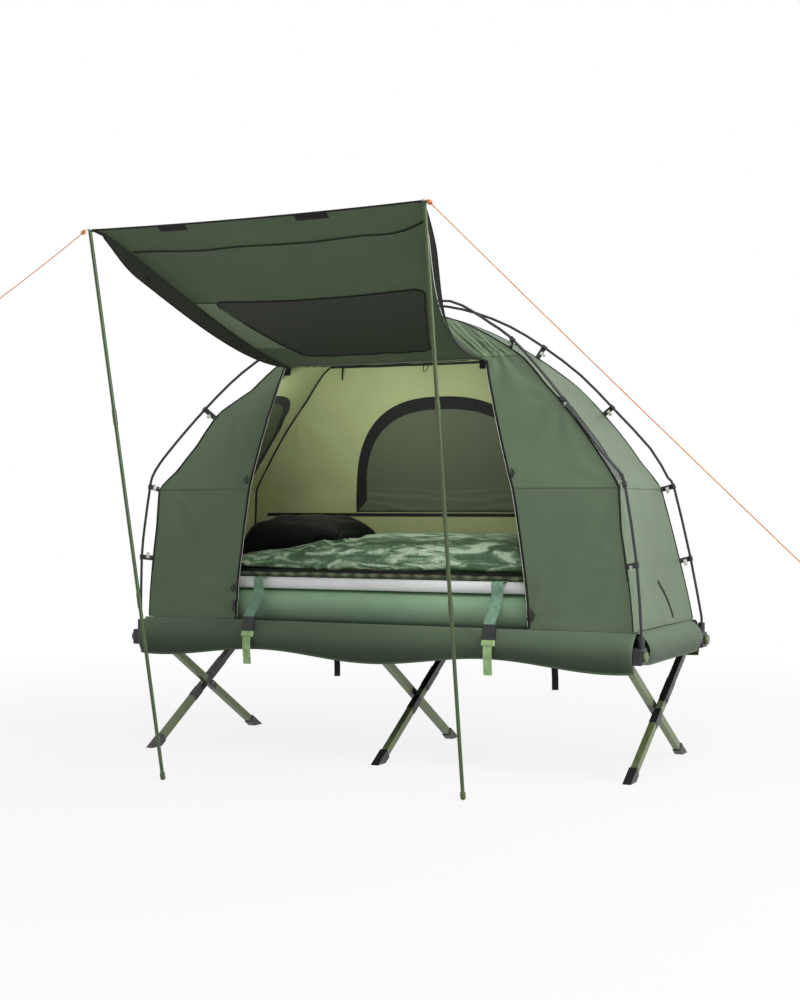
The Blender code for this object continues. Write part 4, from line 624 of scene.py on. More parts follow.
class StageSettings(bpy.types.PropertyGroup):
    floor: colour_setting("Floor", "Plain pale floor", 212, 212, 212)
    key: power_setting("Key light", "Power of the two soft lamps", 250.0)
    fill: FloatProperty(name="Ambient", description="Strength of the even light all round", default=0.40)
    inner: power_setting("Light through the cloth", "Power of the lamp under the roof", 3.1)


# Pieces of the canopy
def vent_sides(share, grow):
    """Near edge, far edge and height of the vent by the right front corner, at a share of its height."""
    z = CREASE_Z + 0.020 - grow + (0.278 + 2 * grow) * share
    width = 0.140 - 0.034 * share
    corner = width * 0.12 * max(0.0, 1 - min(share, 1 - share) / 0.12)
    edge = 0.010 - half_size(z, 1)
    return edge - grow + corner, edge + width + grow - corner, z


def vent_outline(grow, count=25):
    sides = [vent_sides(share, grow) for share in spread(0.0, 1.0, count)]
    return [(near, z) for near, _, z in sides] + [(far, z) for _, far, z in sides[::-1]]


def window_loop(window, grow):
    """Closed outline of an arch window, its straight sill filled with points."""
    outline = arch(window, grow)
    return outline + [(x, outline[-1][1]) for x in spread(outline[-1][0], outline[0][0], 22)[1:-1]]


def laid_piece(name, side, rows, lift, thickness, finishes, closed=False):
    """A thin piece laid on one side of the canopy, from rows of (along, height) pairs."""
    rows = [[canopy_at(side, a, z, lift) for a, z in row] for row in rows]
    thing = grid_piece(name, rows, finishes, closed)
    turn_out(thing, {"front": (0, -1, 0), "rear": (0, 1, 0), "left": (-1, 0, 0), "right": (1, 0, 0)}[side])
    thicken(thing, thickness, 0.0)
    return thing


def loop_strip(name, side, loops, lift, thickness, finishes, closed=True):
    """A band between nested outlines."""
    thing = laid_piece(name, side, loops, lift, thickness, finishes, closed)
    soften(thing)
    return thing


def arch_pane(name, side, window, grow, lift, thickness, finishes, rows=34, columns=44):
    """A pane that fills an arch window and follows the canopy behind it."""
    half, low, height, power = window
    half, low, height = half + grow, low - grow, height + 2 * grow
    grid = []
    for z in spread(low, low + height * 0.9995, rows):
        span = half * (1 - ((z - low) / height) ** power) ** (1 / power)
        grid.append([(a, z) for a in spread(-span, span, columns)])
    return laid_piece(name, side, grid, lift, thickness, finishes)


def surface_tube(name, side, pairs, lift, radius, finishes):
    return tube_piece(name, [canopy_at(side, a, z, lift) for a, z in pairs], radius, finishes)


def surface_tape(name, side, pairs, lift, width, thickness, finishes="binding"):
    """A tape laid on the canopy along a line of (along, height) pairs."""
    path = [canopy_at(side, a, z, lift) for a, z in pairs]
    outs = [canopy_at(side, a, z, lift + 0.01) - spot for (a, z), spot in zip(pairs, path)]
    return tape_piece(name, path, outs, width, thickness, finishes)


def level_pairs(first, last, z, count):
    return [(a, z) for a in spread(first, last, count)]


def corner_point(x_side, y_side, z, lift=0.0):
    return Vector((corner_x(x_side, y_side, z) + x_side * lift, y_side * (half_size(z, 1) + lift), z))


def corner_piping(name, low, high, lift, radius):
    """Piping down the four corners, its points closer together towards the top."""
    things = []
    for x_side, y_side in CORNERS:
        path = [corner_point(x_side, y_side, high - (high - low) * (1 - t) ** 1.5, lift)
                for t in spread(0.0, 1.0, 60)]
        things.append(tube_piece(name, path, radius, "binding"))
    settle(join_pieces(name, things))


def clip_ends(x_side, y_side, z):
    """Where a clip's tab meets the canopy's corner, and the far side of its hook on the pole."""
    line = [corner_point(x_side, y_side, low) for low in spread(z - 0.12, z + 0.05, 80)]
    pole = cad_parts["dome_pole_front_left" if x_side * y_side > 0 else "dome_pole_front_right"]
    spots = [vertex.co - Vector((0, MIDDLE_Y, 0)) for vertex in pole.data.vertices]
    spots = [spot for spot in spots
             if abs(spot.z - z) < 0.010 and spot.x * x_side > 0 and spot.y * y_side > 0]
    hook = max(spots, key=lambda spot: min((spot - seat).length for seat in line))
    return min(line, key=lambda seat: (seat - hook).length), hook


class TENT_OT_canopy(bpy.types.Operator):
    """Build the canopy: one sheet, its windows, flap, bindings, piping, ties and clip links"""
    bl_idname = "tent.canopy"
    bl_label = "Canopy"

    def execute(self, context):
        self.make_shell()
        self.make_windows(context.scene.tent_canopy.band)
        self.make_vent()
        self.make_piping()
        self.make_inner_piping()
        self.make_ties()
        self.make_clip_links()
        self.make_gathers()
        return {"FINISHED"}

    def make_shell(self):
        """The whole canopy as one sheet round the tent, open at the door and the windows."""
        heights = spread(BASE_Z, CREASE_Z, 32) + spread(CREASE_Z, DOOR_TOP_Z, 32)[1:]
        door_rows = len(heights) - 1
        heights += [SHELL_LAST_Z - (SHELL_LAST_Z - DOOR_TOP_Z) * (1 - k / 26) ** 1.7
                    for k in range(1, 27)]
        rows = [self.level_loop(z) for z in heights]
        rows.append([Vector((p.x, 0.0, TOP_Z)) for p in rows[-1]])
        count = len(rows[0])
        faces = [face for number, face in enumerate(sheet_faces(len(rows), count, True))
                 if number // count >= door_rows or number % count not in DOOR_COLUMNS]
        shell = new_piece("tent_shell", [p for row in rows for p in row], faces, "canopy canopy_inside")
        turn_out(shell, merge=0.0004)
        thicken(shell, CLOTH, -1.0, 1)
        cut_through(shell, arch(REAR_WINDOW), 0.02, 0.42, 1)
        cut_through(shell, arch(END_WINDOW), -0.96, -0.20, 0)
        cut_through(shell, vent_outline(0.0), 0.20, 0.96, 0)
        soften(shell, 38)
        settle(shell, "wall_front_left wall_front_right wall_rear wall_left wall_right "
               "slope_front_left slope_front_right slope_rear slope_left slope_right roof_front")

    def level_loop(self, z):
        """One level loop round the tent: front in three stretches, right end, rear, left end."""
        half = half_size(z, 1)
        row = []
        for side, first, last, count in (("front", corner_x(-1, -1, z), door_x(z, "left"), 27),
                                         ("front", door_x(z, "left"), door_x(z, "right"), 56),
                                         ("front", door_x(z, "right"), corner_x(1, -1, z), 27),
                                         ("right", -half, half, 46),
                                         ("rear", corner_x(1, 1, z), corner_x(-1, 1, z), 109),
                                         ("left", half, -half, 46)):
            row += [canopy_at(side, a, z) for a in spread(first, last, count)[:-1]]
        return row

    def make_windows(self, band):
        """Nets and dark bands of the arched windows, and the flap over the rear one."""
        rear_loops = [arch(REAR_WINDOW, grow, 73) for grow in (0.006, -band / 2, -band)]
        self.make_window("rear", REAR_WINDOW, rear_loops, (34, 44))
        flap = arch_pane("rear_window_flap", "rear", REAR_WINDOW, 0.022, 0.0052, 0.0014, "canopy")
        settle(flap)
        left_loops = [window_loop(END_WINDOW, grow) for grow in (0.006, -0.008, -0.018)]
        self.make_window("left", END_WINDOW, left_loops, (26, 24))

    def make_window(self, side, window, loops, grid):
        net = arch_pane(f"{side}_window_net", side, window, 0.004, -0.0026, 0.0006, "net", *grid)
        settle(net, f"{side}_window_mesh")
        for spot, lift in (("inside", -0.0038), ("outside", 0.0012)):
            strip = loop_strip(f"{side}_window_band_{spot}", side, loops, lift, 0.0010, "binding",
                               side == "left")
            settle(strip)

    def make_vent(self):
        grid = []
        for share in spread(0.0, 1.0, 33):
            near, far, z = vent_sides(share, 0.004)
            grid.append(level_pairs(near, far, z, 16))
        pane = laid_piece("right_vent_net", "right", grid, -0.0026, 0.0006, "vent_net")
        settle(pane, "right_vent_mesh")
        loops = [vent_outline(grow) for grow in (0.004, -0.004)]
        settle(loop_strip("vent_binding", "right", loops, 0.0008, 0.0012, "pale_binding"))
        near, far, z = vent_sides(0.985, 0.0)
        pairs = level_pairs(near - 0.004, far + 0.004, z, 12)
        settle(surface_tape("vent_patch", "right", pairs, 0.0012, 0.026, 0.0014))

    def make_piping(self):
        """Corner piping, the creases' seams, the slit for a cable and the tape on the rear sill."""
        corner_piping("corner_piping", BASE_Z + 0.002, TOP_Z - 0.01, 0.0008, 0.0020)
        low = CREASE_Z
        end = half_size(low, 1)
        half = half_size(REAR_CREASE_Z, 0) - 0.034
        lines = [("front", level_pairs(corner_x(-1, -1, low), door_x(low, "left") - 0.014, low, 40)),
                 ("front", level_pairs(door_x(low, "right") + 0.014, corner_x(1, -1, low), low, 40)),
                 ("left", level_pairs(-end, end, low, 40)), ("right", level_pairs(-end, end, low, 40)),
                 ("rear", level_pairs(-half - 0.030, half, REAR_CREASE_Z, 80))]
        seams = [surface_tube("crease_seam", side, pairs, 0.0004, 0.0013, "seam") for side, pairs in lines]
        settle(join_pieces("crease_seams", seams))
        pairs = [(0.025 + 0.106 * t + 0.016 * math.sin(math.pi * t), 0.623 - 0.127 * t)
                 for t in spread(0.0, 1.0, 16)]
        settle(surface_tape("cable_slit", "right", pairs, 0.0006, 0.010, 0.0016))
        pairs = level_pairs(-half + 0.02, half - 0.02, REAR_CREASE_Z - 0.006, 60)
        settle(surface_tape("inner_sill_tape", "rear", pairs, -0.0044, 0.012, 0.0010))

    def make_inner_piping(self):
        """Dark piping inside the corners, and the seam where the roof's cap meets the rear slope."""
        corner_piping("inner_piping", BASE_Z + 0.16, CAP_Z, -0.0036, 0.0042)
        pairs = level_pairs(corner_x(-1, 1, CAP_Z) + 0.005, corner_x(1, 1, CAP_Z) - 0.005, CAP_Z, 60)
        settle(surface_tape("cap_seam_tape", "rear", pairs, -0.0034, 0.009, 0.0018))
        for side, inset in (("left", 0.006), ("right", -0.010)):
            seat = canopy_at("front", door_x(DOOR_TOP_Z, side) + inset, DOOR_TOP_Z - 0.010, -0.0060)
            settle(moulded_block(f"door_corner_{side}", seat, (0.026, 0.005, 0.034), "binding"))

    def make_ties(self):
        """A hanging tie and a lamp loop sewn into the cap seam."""
        seat = canopy_at("rear", -0.378, CAP_Z, -0.004)
        path = [seat + Vector((0, -0.0016 - 0.004 * t, 0.004 - 0.052 * t)) for t in spread(0.0, 1.0, 9)]
        settle(tape_piece("hanging_tie", path, [Vector((0, -1, 0))] * 9, 0.007, 0.0012, "binding"))
        seat = canopy_at("rear", -0.020, CAP_Z + 0.020, -0.0035)
        path = []
        for turn in spread(0.0, 2 * math.pi, 29)[:-1]:
            drop = 0.024 * (1 - math.cos(turn))
            path.append(seat + Vector((0.009 * math.sin(turn) - 0.22 * drop, -0.002 - 0.12 * drop, -drop)))
        settle(tube_piece("lamp_loop", path, 0.0015, "binding", closed=True))

    def make_clip_links(self):
        """Pale links on the tabs that hold the canopy to its poles."""
        links = []
        for x_side, y_side in CORNERS:
            for z in CLIP_HEIGHTS:
                seat, hook = clip_ends(x_side, y_side, z)
                towards = (hook - seat).normalized()
                across = towards.cross(Vector((0, 0, 1))).normalized()
                axes = (towards, across, towards.cross(across))
                links.append(moulded_block("clip_link", seat.lerp(hook, 0.40), (0.0120, 0.0070, 0.0215),
                                           "pale_metal", 0.0016, axes))
        settle(join_pieces("clip_links", links))

    def make_gathers(self):
        """The roof's cloth drawn into fine folds towards the door's top right corner."""
        rows = []
        for share in spread(0.0, 1.0, 76):
            z = 1.384 + 0.150 * share
            row = []
            for t in spread(0.0, 1.0, 120):
                x = corner_x(1, -1, z) - 0.006 - 0.26 * (1 - t)
                fade = min(1.0, 7 * t, 7 * (1 - t), 7 * share, 7 * (1 - share))
                drift = 1.6 * noise.noise(Vector((x * 14, z * 14, 2.5)))
                fold = abs(math.sin(math.pi * (0.60 * x + 0.80 * z) / 0.013 + drift))
                row.append(canopy_at("front", x, z, 0.0010 + 0.0042 * fade * fold))
            rows.append(row)
        # its finish is the canopy cloth painted paler: a painted highlight on the folds
        settle(cloth_piece("gathered_roof", rows, "gathered", 0.0006))


# Door edges
class TENT_OT_zips(bpy.types.Operator):
    """Build the zip tapes and teeth along the door, and the toggles"""
    bl_idname = "tent.zips"
    bl_label = "Zips and toggles"

    def execute(self, context):
        tapes = []
        teeth = []
        for side, sign in SIDES:
            tape_line, teeth_line = ([(door_x(z, side) + sign * shift, z)
                                      for z in spread(BASE_Z + 0.003, DOOR_TOP_Z - 0.004, count)]
                                     for shift, count in ((0.003, 60), (-0.001, 90)))
            tapes.append(surface_tape("zip_tape", "front", tape_line, 0.0004, 0.010, 0.0009))
            teeth.append(surface_tube("zip_teeth", "front", teeth_line, 0.0010, 0.0013, "zip_teeth"))
        settle(join_pieces("zip_tapes", tapes))
        settle(join_pieces("zip_teeth", teeth))
        z = DOOR_TOP_Z + 0.006
        pairs = level_pairs(door_x(z, "left") - 0.006, door_x(z, "right") + 0.006, z, 70)
        settle(surface_tape("door_top_tape", "front", pairs, -0.0046, 0.014, 0.0012))
        for side, sign, level, z in (("left", -1, "upper", 0.968), ("left", -1, "lower", 0.585),
                                     ("right", 1, "upper", 0.985), ("right", 1, "lower", 0.520)):
            seat = canopy_at("front", door_x(z, side) + sign * 0.018, z, 0.001)
            self.make_toggle(f"toggle_{side}_{level}", seat, sign)
        return {"FINISHED"}

    def make_toggle(self, name, seat, sign):
        middle = seat + Vector((0, -0.007, 0))
        body = moulded_block(f"{name}_bar", middle, (0.007, 0.007, 0.030), "plastic", 0.003)
        loop = [seat + Vector((0.010 * sign * (1 - abs(t)), -0.0035 - 0.004 * (1 - t * t), 0.012 * t))
                for t in spread(-1.0, 1.0, 11)]
        cord = tube_piece(f"{name}_loop", loop, 0.0014, "binding")
        settle(join_pieces(name, [body, cord]))


# Skirts and deck
def skirt_point(side, along, share, lift=0.0):
    """A point of a skirt. share runs from the seam at 0 to the hem at 1."""
    reach = SKIRT_REACH[side]
    if side in ("front", "rear"):
        base, bulge = BASE_HALF[1], 0.058
        drop = 0.114 + bpy.context.scene.tent_skirt.wave * math.cos(2 * math.pi * along / 0.850)
    else:
        base, bulge, drop = BASE_HALF[0], 0.052, 0.102
    z = BASE_Z - 0.0006 - drop * share
    spot = Vector((along * 4.0, z * 9.0, 3.0 if side in ("rear", "left") else 0.0))
    out = base + bulge * math.sin(math.pi * 0.766 * share ** 0.8) + lift
    out -= 0.010 * max(0.0, 1 - (reach - abs(along)) / 0.05) ** 2 * share
    out += 0.0035 * share * noise.noise(spot) + 0.0012 * share * noise.noise(spot * 4.0)
    return Vector({"front": (along, -out, z), "rear": (-along, out, z), "left": (-out, -along, z),
                   "right": (out, along, z)}[side])


class TENT_OT_skirts(bpy.types.Operator):
    """Build the band of cloth that wraps the rails, with its hems, and the stretched deck"""
    bl_idname = "tent.skirts"
    bl_label = "Skirts and deck"

    def execute(self, context):
        for side, reach in SKIRT_REACH.items():
            columns = 150 if side in ("front", "rear") else 60
            rows = [[skirt_point(side, a, share) for a in spread(-reach, reach, columns)]
                    for share in spread(1.0, 0.0, 22)]
            skirt = settle(cloth_piece(f"skirt_{side}_cloth", rows, "skirt"), f"skirt_{side}")
            hem = [skirt_point(side, a, 0.97, 0.0002) for a in spread(-reach, reach, columns)]
            outs = [Vector((0, p.y, 0)) if side in ("front", "rear") else Vector((p.x, 0, 0)) for p in hem]
            settle(tape_piece(f"skirt_{side}_hem", hem, outs, 0.008, 0.0016, "skirt_hem"))
        self.make_deck()
        self.make_strap_ends()
        return {"FINISHED"}

    def make_deck(self):
        length, width = DECK_HALF
        rows = []
        for y in spread(-width, width, 40):
            row = []
            for x in spread(-length, length, 70):
                dip = 0.0012 * (abs(y) < 0.33) * abs(noise.noise(Vector((x * 6, y * 6, 0.5))))
                row.append(Vector((x, y, DECK_Z - dip)))
            rows.append(row)
        deck = settle(cloth_piece("deck_cloth_sheet", rows, "deck"), "cot_deck")

    def make_strap_ends(self):
        """Loose ends of the rail ties, which hang inside the front skirt."""
        for name, x, low in (("left", -0.135, 0.294), ("right", 0.655, 0.285)):
            path = [Vector((x + 0.004 * t, -0.3655 + 0.004 * math.sin(3 * t), 0.386 + (low - 0.386) * t))
                    for t in spread(0.0, 1.0, 14)]
            settle(tape_piece(f"rail_tie_{name}", path, [Vector((0, -1, 0))] * 14, 0.022, 0.0016, "binding"))


# Awning
def awning_edges(share):
    """X of the awning's left and right edge, drawn in by soft curves."""
    left, right = -AWNING_REACH[-1], AWNING_REACH[1]
    left += (door_x(DOOR_TOP_Z, "left") + 0.006 - left) * share
    right += (door_x(DOOR_TOP_Z, "right") - 0.006 - right) * share
    return (left + 0.069 * max(math.sin(math.pi * share ** 0.8), 0.0) ** 0.4,
            right - 0.062 * math.sin(math.pi * share ** 1.3))


def awning_share(y):
    return (y - AWNING_FRONT[0]) / (AWNING_HINGE[0] - AWNING_FRONT[0])


def awning_at(across, share, lift=0.0):
    """A point of the awning: across runs from -1 at its left edge to 1, share from its front to the door."""
    left, right = awning_edges(share)
    fall = AWNING_FRONT[1] - AWNING_HINGE[1]
    run = AWNING_HINGE[0] - AWNING_FRONT[0]
    edge = 1 - across ** 2
    ease = min(1.0, edge * 6) * min(1.0, share * 12, (1 - share) * 12)
    x = (left + right) / 2 + across * (right - left) / 2
    y = AWNING_FRONT[0] + run * share
    z = AWNING_FRONT[1] - fall * (1 - (1 - share) ** 1.5)
    z -= edge * (0.007 * (1 - share) + 0.012 * math.sin(math.pi * share))
    z += ease * (0.0022 * noise.noise(Vector((x * 5, y * 3, 1.0)))
                 + 0.0010 * noise.noise(Vector((x * 17, y * 9, 4))))
    return Vector((x, y, z)) + Vector((0, 1.5 * fall * (1 - share) ** 0.5 / run, 1)).normalized() * lift


def awning_on(x, y, lift=0.0):
    """The awning's point over a place in plan."""
    left, right = awning_edges(awning_share(y))
    return awning_at((x - (left + right) / 2) / ((right - left) / 2), awning_share(y), lift)


def awning_line(reach, share, lift, count=80):
    return [awning_at(a, share, lift) for a in spread(*reach, count)]


def window_edge(start, end, number):
    """Points of one edge of the awning's window; the back edge hangs in three soft scallops."""
    scallop = 0.010 if number == 3 else 0.0
    return [(start[0] + (end[0] - start[0]) * t,
             start[1] + (end[1] - start[1]) * t - scallop * (1 - abs(math.sin(3 * math.pi * t))))
            for t in spread(0.0, 1.0, 26)[1:-1]]


def awning_window_outline(grow, count=9):
    """Wide at the front edge, drawn in at the back, with round corners and a back edge in scallops."""
    front_left, front_right = awning_edges(awning_share(AWNING_PANE[0]))
    rear_left, rear_right = awning_edges(awning_share(AWNING_PANE[1]))
    front, rear = AWNING_PANE[0] - grow, AWNING_PANE[1] + grow
    corners = ((front_left + 0.085 - grow, front, 1, 1, 0.030),
               (front_right - 0.048 + grow, front, -1, 1, 0.030),
               (rear_right - 0.105 + grow, rear, -1, -1, 0.050),
               (rear_left + 0.140 - grow, rear, 1, -1, 0.050))
    outline = []
    for number, (x, y, inward_x, inward_y, radius) in enumerate(corners):
        turns = [math.radians(180.0 + 90.0 * (number + step / count)) for step in range(count + 1)]
        turned = [(x + radius * (inward_x + math.cos(turn)), y + radius * (inward_y + math.sin(turn)))
                  for turn in turns]
        if outline:
            outline += window_edge(outline[-1], turned[0], number)
        outline += turned
    return outline + window_edge(outline[-1], outline[0], 4)


def band_point(side, share, down, lift=0.0):
    """A point of a folded side band, which hangs down and leans out from the awning's edge."""
    deepest, power, lean = (0.054, 3.6, 0.34) if side < 0 else (0.050, 3, 0.50)
    depth = down * deepest * math.sin(math.pi / 2 * min(1.0, 6 * share + 0.05)) * (1 - share ** power)
    return awning_at(side, share) + Vector((side * (0.0012 + lift + lean * depth), 0, 0.0004 - depth))


def eyelet_centre(side):
    return Vector((side * (AWNING_REACH[side] + 0.006), -1.156, 1.7322))


class TENT_OT_awning(bpy.types.Operator):
    """Build the awning: its sheet, dark window, side bands, hem, bindings, tabs and eyelets"""
    bl_idname = "tent.awning"
    bl_label = "Awning"

    def execute(self, context):
        rows = [awning_line((-1.0, 1.0), share, 0.0) for share in spread(0.0, 1.0, 74)]
        sheet = grid_piece("awning_cloth", rows, "canopy awning_under")
        thicken(sheet, CLOTH, -1.0, 1)
        cut_through(sheet, awning_window_outline(0.0), *AWNING_CUT, 2)
        soften(sheet)
        settle(sheet, "awning_sheet", "awning")
        self.make_window()
        self.make_bands()
        self.make_snaps()
        self.make_side_strip()
        self.make_edges(context.scene.tent_awning.hem_inset)
        self.make_eyelets()
        return {"FINISHED"}

    def make_window(self):
        rows = [awning_line((-1.0, 1.0), share, -0.0022, 60)
                for share in spread(awning_share(-0.80), awning_share(-0.32), 50)]
        pane = cloth_piece("awning_pane", rows, "pane", 0.0008)
        cut_through(pane, awning_window_outline(0.004), *AWNING_CUT, 2, "INTERSECT")
        settle(pane, "awning_window", "awning")
        paths = [[awning_on(x, y, lift) for x, y in awning_window_outline(0.002)]
                 for lift in (0.0010, -0.0040)]
        things = [tube_piece("window_piping", path, 0.0022, "binding", closed=True) for path in paths]
        settle(join_pieces("awning_window_piping", things), body="awning")

    def make_bands(self):
        """The folded side bands with their edges."""
        for name, side in SIDES:
            rows = [[band_point(side, share, down) for share in spread(0.0, 0.985, 70)][::-side]
                    for down in spread(1.0, 0.0, 8)]
            settle(cloth_piece(f"awning_band_{name}", rows, "side_band", 0.0014), body="awning")
            edge = [band_point(side, share, 1.0, 0.0004) for share in spread(0.02, 0.98, 60)]
            settle(tube_piece(f"awning_band_edge_{name}", edge, 0.0016, "binding", 6), body="awning")

    def make_side_strip(self):
        """A paler strip of gathered cloth beside the window."""
        rows = []
        for y in spread(-0.762, -0.430, 40):
            left = awning_edges(awning_share(y))[0]
            inner = left + 0.079 + 0.055 * (y + 0.768) / 0.428
            rows.append([awning_on(x, y, -0.0026 - 0.0022 * math.sin(24 * (x - left) / 0.085) ** 2)
                         for x in spread(left + 0.004, inner, 26)])
        settle(cloth_piece("awning_side_strip", rows, "side_strip", 0.0010), body="awning")

    def make_snaps(self):
        """Snaps along the left band: flattened balls with a dimple."""
        for number, share in enumerate((0.20, 0.46, 0.66)):
            seat = band_point(-1, share, 0.62) - Vector((0.0010, 0, 0))
            snap = added(bpy.ops.mesh.primitive_uv_sphere_add, segments=20, ring_count=10, radius=0.0085)
            for vertex in snap.data.vertices:
                off_middle = vertex.co.y ** 2 + vertex.co.z ** 2
                vertex.co.x *= 0.35 * (1 - 0.3 * math.exp(-(off_middle / 0.000012)))
            snap.data.transform(Matrix.Translation(to_frame(seat)))
            snap.name = f"band_snap_{number + 1}"
            snap.data.materials.append(FINISHES["plastic"])
            soften(snap, 50)
            settle(snap, body="awning")

    def make_edges(self, hem_inset):
        """Front binding, hem, hinge binding and the two tabs at the front."""
        front = awning_line((-1.0, 1.0), 0.0, -0.0008)
        settle(tube_piece("front_binding", front, 0.0034, "binding", flat=0.8), body="awning")
        share = awning_share(AWNING_FRONT[0] + hem_inset) - 0.008
        line = []
        for a in spread(-0.985, 0.985, 80):
            sweep = 0.040 * max(0.0, (a - 0.72) / 0.28) ** 2
            line.append(awning_at(a, share + 0.003 * math.sin(9.0 * a) - sweep, -0.0022))
        down = [Vector((0, 0, -1))] * 80
        settle(tape_piece("awning_hem", line, down, 0.010, 0.0012, "binding"), body="awning")
        line = awning_line((-0.97, 0.97), awning_share(AWNING_HINGE[0] - 0.022), -0.0022)
        settle(tape_piece("awning_hinge_binding", line, down, 0.026, 0.0010, "pale_strip"), body="awning")
        for name, reach in (("left", (-0.61, -0.44)), ("right", (0.25, 0.44))):
            line = awning_line(reach, 0.010, -0.0034, 8)
            slant = [Vector((0, -0.5, -1))] * 8
            tab = tape_piece(f"front_tab_{name}", line, slant, 0.026, 0.0020, "binding")
            settle(tab, body="awning")

    def make_eyelets(self):
        for name, side in SIDES:
            centre = eyelet_centre(side)
            ring = added(bpy.ops.mesh.primitive_torus_add, location=to_frame(centre), major_radius=0.0072,
                         minor_radius=0.0024, major_segments=32, minor_segments=12)
            bpy.ops.object.transform_apply(location=True)
            ring.data.materials.append(FINISHES["metal"])
            soften(ring)
            corner = moulded_block(f"corner_patch_{name}", centre + Vector((-side * 0.011, 0.011, -0.0012)),
                                   (0.030, 0.030, 0.0044), "binding")
            settle(join_pieces(f"eyelet_{name}", [ring, corner]), body="awning")


# Bedding
def closed_pad(name, rows, middle, low, finishes, foot=0.97):
    """A soft pad from its top's rows, closed with a rounded side and a flat underside."""
    count, columns = len(rows), len(rows[0])
    points = [p for row in rows for p in row]
    x, y = middle
    faces = sheet_faces(count, columns)
    rim = list(range(columns)) + [r * columns + columns - 1 for r in range(1, count)]
    rim += [(count - 1) * columns + c for c in range(columns - 2, -1, -1)]
    rim += [r * columns for r in range(count - 2, 0, -1)]
    last = rim
    for share in spread(0.0, 1.0, 6)[1:]:
        reach = 1 + (foot - 1) * share
        swell = 1 + 0.012 * math.sin(math.pi * share)
        ring = list(range(len(points), len(points) + len(rim)))
        for p in [points[k] for k in rim]:
            points.append(Vector((x + (p.x - x) * reach * swell, y + (p.y - y) * reach * swell,
                                  p.z + (low - p.z) * share)))
        faces += zip(last, ring, ring[1:] + ring[:1], last[1:] + last[:1])
        last = ring
    faces.append(tuple(last[::-1]))
    thing = new_piece(name, points, faces, finishes)
    turn_out(thing)
    soften(thing, 70)
    return thing


def ring_body(name, rings, finishes, marks, slots=72, x_shift=0.0):
    """A closed body from level rounded outlines, bottom to top."""
    sections = []
    for half_x, half_y, z, corner in rings:
        power = 2.0 / (2.0 + 8.0 * (1 - corner / half_y))
        outline = [rounded(2 * math.pi * k / slots, power) for k in range(slots)]
        sections.append([Vector((x_shift + half_x * a, half_y * b, z)) for a, b in outline])
    paint = [mark for mark in marks[:-1] for _ in range(slots)] + [marks[0], marks[-1]]
    thing = swept_piece(name, sections, finishes, marks=paint)
    soften(thing, 50)
    return thing


def under_pillow(x, y):
    return abs(x - PILLOW_X) < 0.215 and -0.140 < y < 0.200


def pillow_seat(x, y):
    """Height of the bag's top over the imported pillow's base: raised at the right, low in front."""
    drop = 0.034 * unit((-0.40 - x) / 0.25) * unit((0.05 - y) / 0.20)
    return 0.036 * unit((x + 0.46) / 0.20) ** 1.5 - drop


def wrinkle_skin(thing, voxel, cap, low, high):
    """Blow a closed pad up a little in too large a skin, so that it wrinkles as sewn cloth does."""
    modify(thing, "REMESH", mode="VOXEL", voxel_size=voxel)
    start = [vertex.co.copy() for vertex in thing.data.vertices]
    cloth = thing.modifiers.new("skin", "CLOTH")
    cloth.settings.quality = 5
    cloth.settings.use_pressure = True
    cloth.settings.uniform_pressure_force = 3.0
    cloth.settings.shrink_min = -0.06
    cloth.settings.effector_weights.gravity = 0.0
    cloth.settings.bending_stiffness = 0.05
    for number in range(1, 21):
        bpy.context.scene.frame_set(number)
    pick(thing)
    bpy.ops.object.modifier_apply(modifier="skin")
    bpy.context.scene.frame_set(1)
    for vertex, spot in zip(thing.data.vertices, start):
        move = vertex.co - spot
        if move.length > cap:
            move *= cap / move.length
        vertex.co = spot + move
        vertex.co.z = min(max(vertex.co.z, low), high)
    modify(thing, "SUBSURF", levels=1, render_levels=1)
    thing.data.shade_smooth()


